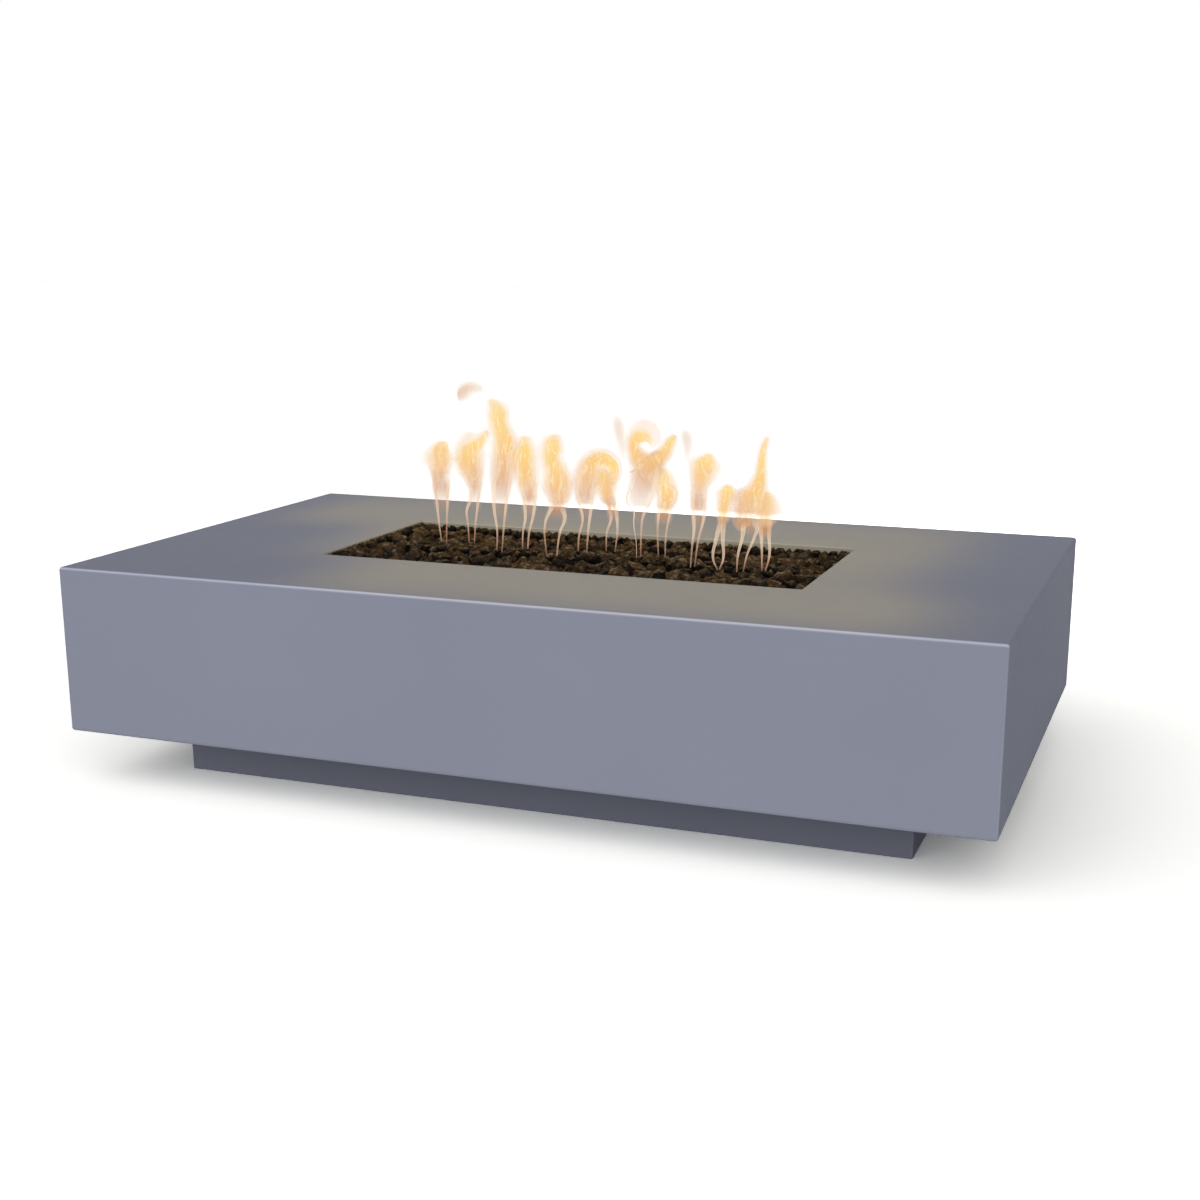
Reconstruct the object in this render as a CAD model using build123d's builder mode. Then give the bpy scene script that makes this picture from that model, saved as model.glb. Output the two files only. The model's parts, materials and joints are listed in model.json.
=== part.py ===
from build123d import *
import math
import os
import random

# Rectangular gas fire pit: a folded sheet-steel slab that overhangs a recessed plinth, with a long
# fire opening full of lava stones, a straight burner under them and a key valve in the rear wall.
# Millimetres. X runs along the length, Y from front to rear, Z up. The origin is on the floor,
# under the middle of the slab.

# Slab
body_length = 1676.4
body_depth = 965.2
body_height = 304.8
sheet = 3.0
fold_radius = 6.0
return_flange = 40.0

# Plinth
plinth_height = 101.6
plinth_inset = 152.4
plinth_fold_radius = 4.0
plinth_top_flange = 45.0
plinth_foot_flange = 30.0

# Fire opening and what carries the pan
opening_length = 914.4
opening_depth = 406.4
opening_edge_radius = 2.5
media_depth = 56.0
ledge_sheet = 3.0
ledge_reach = 20.0
ledge_height = 27.0

# Floor of the slab
panel_sheet = 3.0
panel_edge_room = 1.0
vent_length = 80.0
vent_width = 12.0
vent_pitch = 120.0
vent_count = 5
entry_margin = 8.0

# Inner frame of square tube
rail_size = 40.0
rail_wall = 3.0
tube_corner = 4.0
rail_end_room = 1.0
post_size = 25.0
post_wall = 2.0
stiffener_sheet = 2.5
stiffener_width = 40.0
stiffener_drop = 30.0
stiffener_flange = 20.0
stiffener_bend = 4.0
stiffener_end_room = 12.0

# Bolts and screws
bolt_diameter = 10.0
bolt_hole = 11.0
bolt_head_flats = 17.0
bolt_head_height = 6.4
bolt_nut_height = 8.0
bolt_end_margin = 85.0
bolt_mid_place = 220.0
bolt_spare_length = 3.0
screw_diameter = 5.0
screw_head_diameter = 9.5
screw_head_height = 2.8
screw_spare_length = 4.0
screw_edge_distance = 22.0
screw_pitch = 350.0
screw_end_place = 220.0

# Pan and burner
pan_sheet = 2.0
pan_side_room = 2.0
pan_wall_height = 25.0
pan_corner = 6.0
drain_hole = 8.0
drain_pitch = 150.0
drain_row_place = 120.0
burner_end_room = 76.2
burner_diameter = 26.7
burner_wall = 2.5
burner_lift = 4.0
cap_wall = 2.6
cap_depth = 16.0
cap_end = 3.0
cap_fit = 0.1
stand_length = 24.0
stand_half_width = 14.0
stand_rise = 12.0
stand_place = 190.0
jet_pitch = 54.0
jet_end_room = 50.0
jet_flats = 12.0
jet_base = 5.0
jet_nose_radius = 4.6
jet_nose_height = 9.0
jet_shank_diameter = 8.0
jet_shank_length = 4.0
jet_port_diameter = 2.0
jet_port_offset = 2.2
jet_port_tilt = 15.0
jet_fit = 0.15

# Gas feed
nipple_diameter = 17.1
gas_bore = 11.0
nipple_fit = 0.2
nipple_in_burner = 7.5
pan_hole_room = 0.7
pan_nut_flats = 27.0
pan_nut_height = 8.0
elbow_radius = 13.0
elbow_drop = 50.0
elbow_socket = 26.0
elbow_grip = 18.0
elbow_arm = 30.0
spud_diameter = 15.0
spud_length = 14.0
hose_diameter = 15.0
hose_bend = 110.0
hose_lead = 146.0
hose_skew = 45.0
hose_nut_flats = 24.0
hose_nut_length = 20.0
hose_nut_fit = 0.15

# Key valve, measured from the middle of its ball along the stem
valve_height = 152.4
valve_setback = 70.0
valve_swing = 82.0
barrel_radius = 19.0
barrel_half = 22.0
port_flats = 30.0
port_length = 16.0
cavity_radius = 12.3
cavity_half = 13.0
seat_inner = 7.0
ball_radius = 11.7
valve_clearance = 0.3
slot_width = 4.4
slot_depth = 4.0
tang_width = 4.0
tang_length = 8.0
tang_lift = 0.3
shank_radius = 4.5
shoulder = 24.0
stem_head_radius = 7.0
stem_head_end = 48.0
socket_side = 8.0
socket_depth = 18.0
ring_thickness = 1.2
ring_bore_radius = 5.6
neck_radius = 12.0
neck_fit = 0.2
neck_proud = 6.0
valve_nut_flats = 36.0
valve_nut_height = 8.0
escutcheon_radius = 30.0
escutcheon_thickness = 5.0
escutcheon_round = 3.0
key_tip_room = 1.0
key_radius = 4.75
key_reach = 70.0
key_boss_radius = 7.5
key_boss_length = 17.0
key_bar_radius = 4.0
key_bar_length = 70.0
key_bar_fit = 0.05

# Gas inlet through the slab's floor
union_margin = 35.0
union_radius = 10.0
union_fit = 0.3
union_flange_flats = 32.0
union_flange_height = 8.0
union_port_flats = 30.0
union_port_height = 26.0
union_port_radius = 9.3
union_port_depth = 16.0
union_nut_height = 7.0
union_neck_rise = 5.0

# Lava stones
stone_pitch = 36.0
stone_gap = 0.7
bed_side_room = 1.5
stone_low = 44.0
stone_high = 53.0
stone_chip_least = 0.62
stone_chip_most = 0.82
stone_seat = 0.3
burner_lane_room = 2.0
stone_seed = 7

# Heights and spans that follow
stand_up = (Align.CENTER, Align.CENTER, Align.MIN)
hang_down = (Align.CENTER, Align.CENTER, Align.MAX)
inner_fold = max(fold_radius - sheet, 0.5)
inner_length = body_length - 2 * sheet
inner_depth = body_depth - 2 * sheet
top_z = plinth_height + body_height
pan_floor_z = top_z - media_depth
lip_bottom_z = pan_floor_z - pan_sheet
flange_top_z = plinth_height + sheet
panel_top_z = flange_top_z + panel_sheet
rail_top_z = panel_top_z + rail_size
cross_top_z = rail_top_z + rail_size
plinth_length = body_length - 2 * plinth_inset
plinth_depth = body_depth - 2 * plinth_inset
plinth_ring_height = flange_top_z

rail_y = plinth_depth / 2 - plinth_top_flange / 2 - sheet / 2
rail_length = inner_length - 2 * rail_end_room
ledge_outer = sheet + ledge_sheet
cross_x = opening_length / 2 + (ledge_outer - ledge_reach) / 2
post_y = opening_depth / 2 + (ledge_outer - ledge_reach) / 2
entry_length = 2 * (cross_x - rail_size / 2 - entry_margin)
entry_depth = opening_depth - 2 * entry_margin

bolt_end_place = plinth_length / 2 - bolt_end_margin
bolt_xs = (-bolt_end_place, -bolt_mid_place, bolt_mid_place, bolt_end_place)
bolt_places = [(x, y) for x in bolt_xs for y in (-rail_y, rail_y)]

screw_y = body_depth / 2 - screw_edge_distance
screw_x = body_length / 2 - screw_edge_distance
screw_places = [(i * screw_pitch, y) for i in range(-2, 3) for y in (-screw_y, screw_y)]
screw_places += [(x, y) for x in (-screw_x, screw_x) for y in (-screw_end_place, screw_end_place)]

burner_length = opening_length - 2 * burner_end_room
burner_radius = burner_diameter / 2
burner_z = pan_floor_z + burner_lift + burner_radius
burner_top_z = burner_z + burner_radius
jet_gaps = int((burner_length - 2 * jet_end_room) / jet_pitch)
jet_places = [((i - jet_gaps / 2) * jet_pitch, 0, burner_top_z) for i in range(jet_gaps + 1)]
cap_radius = burner_radius + cap_wall

nipple_radius = nipple_diameter / 2
spud_radius = spud_diameter / 2
bore_radius = gas_bore / 2
elbow_z = lip_bottom_z - elbow_drop
union_x = plinth_length / 2 - plinth_top_flange - union_margin
union_y = plinth_depth / 2 - plinth_top_flange - union_margin
valve_reach = barrel_half + port_length + spud_length
valve_x = union_x - valve_swing - valve_reach
valve_y = inner_depth / 2 - valve_setback
valve_z = plinth_height + valve_height
valve_plane = Plane(origin=(valve_x, valve_y, valve_z), x_dir=(1, 0, 0), z_dir=(0, 1, 0))
wall_in = valve_setback
wall_out = valve_setback + sheet

union_bottom_z = flange_top_z - union_flange_height - union_port_height
union_neck_z = panel_top_z + union_nut_height + union_neck_rise
union_top_z = union_neck_z + spud_length


def save(piece, name):
    """Label one finished piece and write it."""
    piece.part.label = name
    export_step(piece.part, f"parts/{name}.step")


def tube_section(size, wall):
    """Rounded square tube section in the sketch that is open."""
    RectangleRounded(size, size, tube_corner)
    hollow = size - 2 * wall
    RectangleRounded(hollow, hollow, max(tube_corner - wall, 0.5), mode=Mode.SUBTRACT)


def bend_radii(points, wish):
    """Radius at each corner of a route: the wish, or what its runs leave room for.

    A corner may use nearly all of an end run, and nearly half of a run that it shares.
    """
    runs = [Vector(after) - Vector(before) for before, after in zip(points, points[1:])]
    shares = [0.95 if run in (runs[0], runs[-1]) else 0.47 for run in runs]
    radii = []
    for i in range(len(runs) - 1):
        half_turn = math.radians(runs[i].get_angle(runs[i + 1])) / 2
        room = min(shares[i] * runs[i].length, shares[i + 1] * runs[i + 1].length)
        radii.append(min(wish, room / math.tan(half_turn)))
    return radii


os.makedirs("parts", exist_ok=True)

# Slab: rounded folds outside and inside, open floor inside the return flange, lip round the opening
with BuildPart() as shell_hollow:
    with Locations((0, 0, flange_top_z)):
        Box(inner_length, inner_depth, body_height - 2 * sheet, align=stand_up)
    fillet(shell_hollow.edges(), inner_fold)

with BuildPart() as top_shell:
    with Locations((0, 0, plinth_height)):
        Box(body_length, body_depth, body_height, align=stand_up)
    fillet(top_shell.edges(), fold_radius)
    add(shell_hollow.part, mode=Mode.SUBTRACT)
    with Locations((0, 0, plinth_height)):
        Box(
            body_length - 2 * return_flange,
            body_depth - 2 * return_flange,
            2 * sheet,
            align=stand_up,
            mode=Mode.SUBTRACT,
        )
    lip_height = top_z - lip_bottom_z
    with Locations((0, 0, lip_bottom_z)):
        Box(opening_length + 2 * sheet, opening_depth + 2 * sheet, lip_height - sheet / 2, align=stand_up)
        Box(opening_length, opening_depth, 2 * lip_height, align=stand_up, mode=Mode.SUBTRACT)
    top_face = top_shell.faces().sort_by(Axis.Z)[-1]
    fillet(top_face.inner_wires()[0].edges(), opening_edge_radius)
    with Locations(Plane(origin=(valve_x, inner_depth / 2, valve_z), z_dir=(0, 1, 0))):
        Cylinder(neck_radius + neck_fit, 4 * sheet, mode=Mode.SUBTRACT)
    with Locations(*[(x, y, plinth_height) for x, y in screw_places]):
        Cylinder(screw_diameter / 2, 4 * sheet, mode=Mode.SUBTRACT)
save(top_shell, "top_shell")

# Plinth: one folded ring with a top flange to bolt through and a foot flange to stand on
with BuildPart() as toe_kick_base:
    Box(plinth_length, plinth_depth, plinth_ring_height, align=stand_up)
    fillet(toe_kick_base.edges().filter_by(Axis.Z), plinth_fold_radius)
    fillet(toe_kick_base.faces().sort_by(Axis.Z)[0].edges(), plinth_fold_radius / 2)
    with Locations((0, 0, sheet)):
        Box(
            plinth_length - 2 * sheet,
            plinth_depth - 2 * sheet,
            plinth_ring_height - 2 * sheet,
            align=stand_up,
            mode=Mode.SUBTRACT,
        )
    for flange, height in ((plinth_foot_flange, 0), (plinth_top_flange, plinth_ring_height - sheet)):
        with Locations((0, 0, height)):
            Box(
                plinth_length - 2 * flange,
                plinth_depth - 2 * flange,
                sheet,
                align=stand_up,
                mode=Mode.SUBTRACT,
            )
    with Locations(*[(x, y, plinth_ring_height) for x, y in bolt_places]):
        Cylinder(bolt_hole / 2, 3 * sheet, mode=Mode.SUBTRACT)
save(toe_kick_base, "toe_kick_base")

# Slab floor: lies on the return flange, with the gas entry, vents under both overhangs and bolt holes
panel_room = inner_fold + panel_edge_room
vent_x = (plinth_length / 2 + body_length / 2 - return_flange) / 2
vent_places = [
    (x, (i - (vent_count - 1) / 2) * vent_pitch) for x in (-vent_x, vent_x) for i in range(vent_count)
]
with BuildPart() as underside_panel:
    with BuildSketch(Plane.XY.offset(flange_top_z)):
        RectangleRounded(inner_length - 2 * panel_room, inner_depth - 2 * panel_room, inner_fold)
        Rectangle(entry_length, entry_depth, mode=Mode.SUBTRACT)
        with Locations(*vent_places):
            SlotOverall(vent_length, vent_width, rotation=90, mode=Mode.SUBTRACT)
        with Locations(*bolt_places):
            Circle(bolt_hole / 2, mode=Mode.SUBTRACT)
        with Locations(*screw_places):
            Circle(screw_diameter / 2, mode=Mode.SUBTRACT)
        with Locations((union_x, union_y)):
            Circle(union_radius + union_fit, mode=Mode.SUBTRACT)
    extrude(amount=panel_sheet)
save(underside_panel, "underside_panel")

# Frame rails along the slab, bolted over the plinth's top flange
for side, name in ((-1, "frame_rail_front"), (1, "frame_rail_rear")):
    with BuildPart() as frame_rail:
        with BuildSketch(Plane.YZ.offset(-rail_length / 2)):
            with Locations((side * rail_y, panel_top_z + rail_size / 2)):
                tube_section(rail_size, rail_wall)
        extrude(amount=rail_length)
        with Locations(*[(x, side * rail_y, panel_top_z) for x in bolt_xs]):
            Cylinder(bolt_hole / 2, 3 * rail_size, mode=Mode.SUBTRACT)
    save(frame_rail, name)

# Cross tubes over the rails, under the ends of the opening
cross_length = inner_depth - 2 * rail_end_room
for side, name in ((-1, "frame_cross_left"), (1, "frame_cross_right")):
    with BuildPart() as frame_cross:
        with BuildSketch(Plane.XZ.offset(-cross_length / 2)):
            with Locations((side * cross_x, rail_top_z + rail_size / 2)):
                tube_section(rail_size, rail_wall)
        extrude(amount=cross_length)
    save(frame_cross, name)

# Posts from the cross tubes up to the pan ledge
for front, end in ((-1, "front"), (1, "rear")):
    for side, hand in ((-1, "left"), (1, "right")):
        with BuildPart() as frame_post:
            with BuildSketch(Plane.XY.offset(cross_top_z)):
                with Locations((side * cross_x, front * post_y)):
                    tube_section(post_size, post_wall)
            extrude(amount=lip_bottom_z - ledge_sheet - cross_top_z)
        save(frame_post, f"frame_post_{end}_{hand}")

# Hat channels that stiffen the wide ends of the top
stiffener_x = (opening_length / 2 + body_length / 2) / 2
stiffener_top_z = top_z - sheet - stiffener_sheet / 2
hat_half = stiffener_width / 2
hat_edge = hat_half + stiffener_flange
hat_low_z = top_z - sheet - stiffener_drop
for side, name in ((-1, "top_stiffener_left"), (1, "top_stiffener_right")):
    middle = side * stiffener_x
    with BuildPart() as top_stiffener:
        with BuildSketch(Plane.XZ):
            with BuildLine():
                FilletPolyline(
                    (middle - hat_edge, stiffener_top_z),
                    (middle - hat_half, stiffener_top_z),
                    (middle - hat_half, hat_low_z),
                    (middle + hat_half, hat_low_z),
                    (middle + hat_half, stiffener_top_z),
                    (middle + hat_edge, stiffener_top_z),
                    radius=stiffener_bend,
                )
            trace(line_width=stiffener_sheet)
        extrude(amount=inner_depth / 2 - stiffener_end_room, both=True)
    save(top_stiffener, name)

# Pan ledges: angle bars behind and under the lip; the end ones butt between the long ones
ledge_mid = ledge_sheet / 2
ledge_profile = [
    (ledge_mid, ledge_height),
    (ledge_mid, -ledge_mid),
    (ledge_outer + ledge_reach, -ledge_mid),
]
long_ledge = opening_length + 2 * ledge_outer
short_ledge = opening_depth - 2 * ledge_reach
ledge_runs = (
    ("pan_ledge_front", (0, -opening_depth / 2 - ledge_outer), (0, 1, 0), long_ledge),
    ("pan_ledge_rear", (0, opening_depth / 2 + ledge_outer), (0, -1, 0), long_ledge),
    ("pan_ledge_left", (-opening_length / 2 - ledge_outer, 0), (1, 0, 0), short_ledge),
    ("pan_ledge_right", (opening_length / 2 + ledge_outer, 0), (-1, 0, 0), short_ledge),
)
for name, (x, y), inward, length in ledge_runs:
    along = Vector(inward).cross(Vector(0, 0, 1))
    with BuildPart() as pan_ledge:
        with BuildSketch(Plane(origin=(x, y, lip_bottom_z), x_dir=inward, z_dir=along)):
            with BuildLine():
                Polyline(*ledge_profile)
            trace(line_width=ledge_sheet)
        extrude(amount=length / 2, both=True)
    save(pan_ledge, name)

# Bolts from under the plinth's top flange, nuts on the rails
bolt_grip = rail_top_z - plinth_height
with BuildPart() as bolt_form:
    with BuildSketch(Plane.XY.offset(plinth_height - bolt_head_height)):
        RegularPolygon(bolt_head_flats / 2, 6, major_radius=False)
    extrude(amount=bolt_head_height)
    with Locations((0, 0, plinth_height)):
        Cylinder(bolt_diameter / 2, bolt_grip + bolt_nut_height + bolt_spare_length, align=stand_up)
with BuildPart() as base_bolts:
    with Locations(*bolt_places):
        add(bolt_form.part)
save(base_bolts, "base_bolts")

with BuildPart() as base_nuts:
    with BuildSketch(Plane.XY.offset(rail_top_z)):
        with Locations(*bolt_places):
            RegularPolygon(bolt_head_flats / 2, 6, major_radius=False)
            Circle(bolt_diameter / 2, mode=Mode.SUBTRACT)
    extrude(amount=bolt_nut_height)
save(base_nuts, "base_nuts")

# Screws up through the return flange into the slab floor
with BuildPart() as panel_screws:
    with Locations(*[(x, y, plinth_height) for x, y in screw_places]):
        Cylinder(screw_head_diameter / 2, screw_head_height, align=hang_down)
        Cylinder(screw_diameter / 2, panel_top_z - plinth_height + screw_spare_length, align=stand_up)
save(panel_screws, "panel_screws")

# Pan: a shallow tray on the ledges, with a feed hole and two rows of drain holes
pan_length = opening_length - 2 * pan_side_room
pan_depth = opening_depth - 2 * pan_side_room
drain_gaps = int((pan_length - drain_pitch) / drain_pitch)
drain_places = [
    ((i - drain_gaps / 2) * drain_pitch, y)
    for i in range(drain_gaps + 1)
    for y in (-drain_row_place, drain_row_place)
]
with BuildPart() as burner_pan:
    with BuildSketch(Plane.XY.offset(lip_bottom_z)):
        RectangleRounded(pan_length, pan_depth, pan_corner)
    extrude(amount=pan_sheet + pan_wall_height)
    with BuildSketch(Plane.XY.offset(pan_floor_z)):
        RectangleRounded(pan_length - 2 * pan_sheet, pan_depth - 2 * pan_sheet, pan_corner - pan_sheet)
    extrude(amount=pan_wall_height, mode=Mode.SUBTRACT)
    with Locations((0, 0, lip_bottom_z)):
        Cylinder(nipple_radius + pan_hole_room, 3 * pan_sheet, mode=Mode.SUBTRACT)
    with Locations(*[(x, y, lip_bottom_z) for x, y in drain_places]):
        Cylinder(drain_hole / 2, 3 * pan_sheet, mode=Mode.SUBTRACT)
save(burner_pan, "burner_pan")

# Burner pipe: a row of tapped holes on top, a feed hole underneath
with BuildPart() as burner_pipe:
    with BuildSketch(Plane.YZ.offset(-burner_length / 2)):
        with Locations((0, burner_z)):
            Circle(burner_radius)
            Circle(burner_radius - burner_wall, mode=Mode.SUBTRACT)
    extrude(amount=burner_length)
    with Locations(*jet_places):
        Cylinder(jet_shank_diameter / 2 + jet_fit, burner_radius, mode=Mode.SUBTRACT)
    with Locations((0, 0, burner_z)):
        Cylinder(nipple_radius + nipple_fit, 2 * burner_radius, align=hang_down, mode=Mode.SUBTRACT)
save(burner_pipe, "burner_pipe")

# Burner caps over both ends of the pipe
for side, name in ((-1, "burner_cap_left"), (1, "burner_cap_right")):
    cap_plane = Plane(origin=(side * (burner_length / 2 + cap_end), 0, burner_z), z_dir=(-side, 0, 0))
    with BuildPart(cap_plane) as burner_cap:
        Cylinder(cap_radius, cap_depth, align=stand_up)
        fillet(burner_cap.edges().group_by(Axis.X)[0 if side < 0 else -1], cap_end / 2)
        with Locations((0, 0, cap_end)):
            Cylinder(burner_radius + cap_fit, cap_depth, align=stand_up, mode=Mode.SUBTRACT)
    save(burner_cap, name)

# Saddles that hold the pipe off the pan
for side, name in ((-1, "burner_stand_left"), (1, "burner_stand_right")):
    with BuildPart() as burner_stand:
        with BuildSketch(Plane.YZ.offset(side * stand_place)):
            with Locations((0, pan_floor_z)):
                Rectangle(2 * stand_half_width, stand_rise, align=(Align.CENTER, Align.MIN))
            with Locations((0, burner_z)):
                Circle(burner_radius, mode=Mode.SUBTRACT)
        extrude(amount=stand_length / 2, both=True)
    save(burner_stand, name)

# Brass jets: hexagon base, bullet nose and two slanted gas ports
with BuildPart() as jet_form:
    with BuildSketch():
        RegularPolygon(jet_flats / 2, 6, major_radius=False)
    extrude(amount=jet_base)
    with BuildSketch(Plane.XZ):
        with BuildLine():
            nose_foot = Line((0, jet_base), (jet_nose_radius, jet_base))
            nose_side = Line(nose_foot @ 1, (jet_nose_radius, jet_base + jet_nose_height - jet_nose_radius))
            nose_tip = TangentArc(nose_side @ 1, (0, jet_base + jet_nose_height), tangent=(0, 1))
            Line(nose_tip @ 1, nose_foot @ 0)
        make_face()
    revolve(axis=Axis.Z)
    Cylinder(jet_shank_diameter / 2, jet_shank_length, align=hang_down)
    for side in (-1, 1):
        with Locations(Location((side * jet_port_offset, 0, jet_base), (0, side * jet_port_tilt, 0))):
            Cylinder(jet_port_diameter / 2, 2 * jet_nose_height, align=stand_up, mode=Mode.SUBTRACT)
with BuildPart() as burner_jets:
    with Locations(*jet_places):
        add(jet_form.part)
save(burner_jets, "burner_jets")

# Feed: nipple from the burner down through the pan, its locknut, and the elbow under it
nipple_top_z = burner_z - burner_radius + nipple_in_burner
nipple_low_z = elbow_z + elbow_socket - elbow_grip
with BuildPart() as feed_nipple:
    with BuildSketch(Plane.XY.offset(nipple_low_z)):
        Circle(nipple_radius)
        Circle(bore_radius, mode=Mode.SUBTRACT)
    extrude(amount=nipple_top_z - nipple_low_z)
save(feed_nipple, "feed_nipple")

with BuildPart() as pan_locknut:
    with BuildSketch(Plane.XY.offset(lip_bottom_z - pan_nut_height)):
        RegularPolygon(pan_nut_flats / 2, 6, major_radius=False)
        Circle(nipple_radius + nipple_fit, mode=Mode.SUBTRACT)
    extrude(amount=pan_nut_height)
save(pan_locknut, "pan_locknut")

with BuildPart(Plane.XY.offset(elbow_z)) as feed_elbow:
    Sphere(elbow_radius)
    Cylinder(elbow_radius, elbow_socket, align=stand_up)
    Cylinder(elbow_radius, elbow_arm, rotation=(0, 90, 0), align=stand_up)
    Cylinder(spud_radius, elbow_arm + spud_length, rotation=(0, 90, 0), align=stand_up)
    Cylinder(bore_radius, elbow_socket, align=stand_up, mode=Mode.SUBTRACT)
    Cylinder(
        bore_radius, elbow_arm + spud_length, rotation=(0, 90, 0), align=stand_up, mode=Mode.SUBTRACT
    )
    Sphere(bore_radius, mode=Mode.SUBTRACT)
    with Locations((0, 0, elbow_socket - elbow_grip)):
        Cylinder(nipple_radius, elbow_grip, align=stand_up, mode=Mode.SUBTRACT)
save(feed_elbow, "feed_elbow")

# Valve body: barrel, one hexagon port with its spud, and the long neck that passes the rear wall
with BuildPart(valve_plane) as valve_body:
    Cylinder(barrel_radius, 2 * barrel_half, rotation=(0, 90, 0))
    Cylinder(neck_radius, wall_out + neck_proud, align=stand_up)
    with BuildSketch(Plane(origin=(valve_x - barrel_half, valve_y, valve_z), z_dir=(-1, 0, 0))):
        RegularPolygon(port_flats / 2, 6, major_radius=False)
    extrude(amount=port_length)
    with BuildSketch(Plane(origin=(valve_x - barrel_half - port_length, valve_y, valve_z), z_dir=(-1, 0, 0))):
        Circle(spud_radius)
    extrude(amount=spud_length)
    Cylinder(bore_radius, 2 * valve_reach, rotation=(0, 90, 0), mode=Mode.SUBTRACT)
    with Locations((-cavity_half, 0, 0)):
        Cylinder(
            cavity_radius,
            cavity_half + barrel_half,
            rotation=(0, 90, 0),
            align=stand_up,
            mode=Mode.SUBTRACT,
        )
    Cylinder(shank_radius + valve_clearance, shoulder, align=stand_up, mode=Mode.SUBTRACT)
    with Locations((0, 0, shoulder)):
        Cylinder(stem_head_radius + valve_clearance, wall_out, align=stand_up, mode=Mode.SUBTRACT)
save(valve_body, "valve_body")

# Adapter that closes the barrel and carries the inlet spud
with BuildPart() as valve_adapter:
    with BuildSketch(Plane(origin=(valve_x + cavity_half, valve_y, valve_z), z_dir=(1, 0, 0))):
        Circle(cavity_radius)
    extrude(amount=barrel_half - cavity_half)
    with BuildSketch(Plane(origin=(valve_x + barrel_half, valve_y, valve_z), z_dir=(1, 0, 0))):
        RegularPolygon(port_flats / 2, 6, major_radius=False)
    extrude(amount=port_length)
    with BuildSketch(Plane(origin=(valve_x + barrel_half + port_length, valve_y, valve_z), z_dir=(1, 0, 0))):
        Circle(spud_radius)
    extrude(amount=spud_length)
    with Locations(Plane(origin=(valve_x, valve_y, valve_z), z_dir=(1, 0, 0))):
        Cylinder(bore_radius, valve_reach, align=stand_up, mode=Mode.SUBTRACT)
save(valve_adapter, "valve_adapter")

# Seats: two rings turned to fit the ball, one each side of it
seat_width = cavity_half - seat_inner
seat_middle = (cavity_half + seat_inner) / 2
with BuildPart() as valve_seats:
    with BuildSketch(Plane(origin=(valve_x, valve_y, valve_z), x_dir=(1, 0, 0), z_dir=(0, 0, 1))):
        with Locations((-seat_middle, bore_radius), (seat_middle, bore_radius)):
            Rectangle(seat_width, cavity_radius - bore_radius, align=(Align.CENTER, Align.MIN))
        Circle(ball_radius + valve_clearance, mode=Mode.SUBTRACT)
    revolve(axis=Axis((valve_x, valve_y, valve_z), (1, 0, 0)))
save(valve_seats, "valve_seats")

# Ball with its port and the slot that the stem turns
with BuildPart(valve_plane) as valve_ball:
    Sphere(ball_radius)
    Cylinder(bore_radius, 2 * ball_radius, rotation=(0, 90, 0), mode=Mode.SUBTRACT)
    with Locations((0, 0, ball_radius - slot_depth)):
        Box(slot_width, 2 * ball_radius, slot_depth, align=stand_up, mode=Mode.SUBTRACT)
save(valve_ball, "valve_ball")

# Stem: tang in the ball's slot, shank, and a head with the square socket for the key
tang_low = ball_radius - slot_depth + tang_lift
head_low = shoulder + valve_clearance
with BuildPart(valve_plane) as valve_stem:
    with Locations((0, 0, tang_low)):
        Box(tang_width, tang_length, head_low - tang_low, align=stand_up)
    with Locations((0, 0, cavity_radius)):
        Cylinder(shank_radius, head_low - cavity_radius, align=stand_up)
    with Locations((0, 0, head_low)):
        Cylinder(stem_head_radius, stem_head_end - head_low, align=stand_up)
    with Locations((0, 0, stem_head_end - socket_depth)):
        Box(socket_side, socket_side, socket_depth, align=stand_up, mode=Mode.SUBTRACT)
save(valve_stem, "valve_stem")

# Ring that keeps the stem in the neck
with BuildPart(valve_plane) as stem_ring:
    with Locations((0, 0, stem_head_end + valve_clearance)):
        Cylinder(stem_head_radius + valve_clearance, ring_thickness, align=stand_up)
        Cylinder(ring_bore_radius, ring_thickness, align=stand_up, mode=Mode.SUBTRACT)
save(stem_ring, "stem_ring")

# Locknut inside the rear wall and the round escutcheon outside it
with BuildPart() as valve_locknut:
    with BuildSketch(valve_plane.offset(wall_in - valve_nut_height)):
        RegularPolygon(valve_nut_flats / 2, 6, major_radius=False)
        Circle(neck_radius, mode=Mode.SUBTRACT)
    extrude(amount=valve_nut_height)
save(valve_locknut, "valve_locknut")

with BuildPart(valve_plane) as valve_escutcheon:
    with Locations((0, 0, wall_out)):
        Cylinder(escutcheon_radius, escutcheon_thickness, align=stand_up)
    fillet(valve_escutcheon.edges().group_by(Axis.Y)[-1], escutcheon_round)
    with Locations((0, 0, wall_out)):
        Cylinder(neck_radius, escutcheon_thickness, align=stand_up, mode=Mode.SUBTRACT)
save(valve_escutcheon, "valve_escutcheon")

# Key: square tip in the stem, round shaft, and a cross bar through its boss
key_side = socket_side - 2 * valve_clearance
key_tip = stem_head_end - socket_depth + key_tip_room
key_square_end = stem_head_end + 2 * valve_clearance + ring_thickness
key_end = wall_out + key_reach
boss_middle = key_end - key_boss_length / 2
with BuildPart(valve_plane) as key_shaft:
    with Locations((0, 0, key_tip)):
        Box(key_side, key_side, key_square_end - key_tip, align=stand_up)
    with Locations((0, 0, key_square_end)):
        Cylinder(key_radius, key_end - key_square_end, align=stand_up)
    with Locations((0, 0, boss_middle)):
        Cylinder(key_boss_radius, key_boss_length)
    fillet(key_shaft.edges().group_by(Axis.Y)[-1], key_boss_radius / 4)
    with Locations((0, 0, boss_middle)):
        Cylinder(
            key_bar_radius + key_bar_fit, 3 * key_boss_radius, rotation=(0, 90, 0), mode=Mode.SUBTRACT
        )
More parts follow.
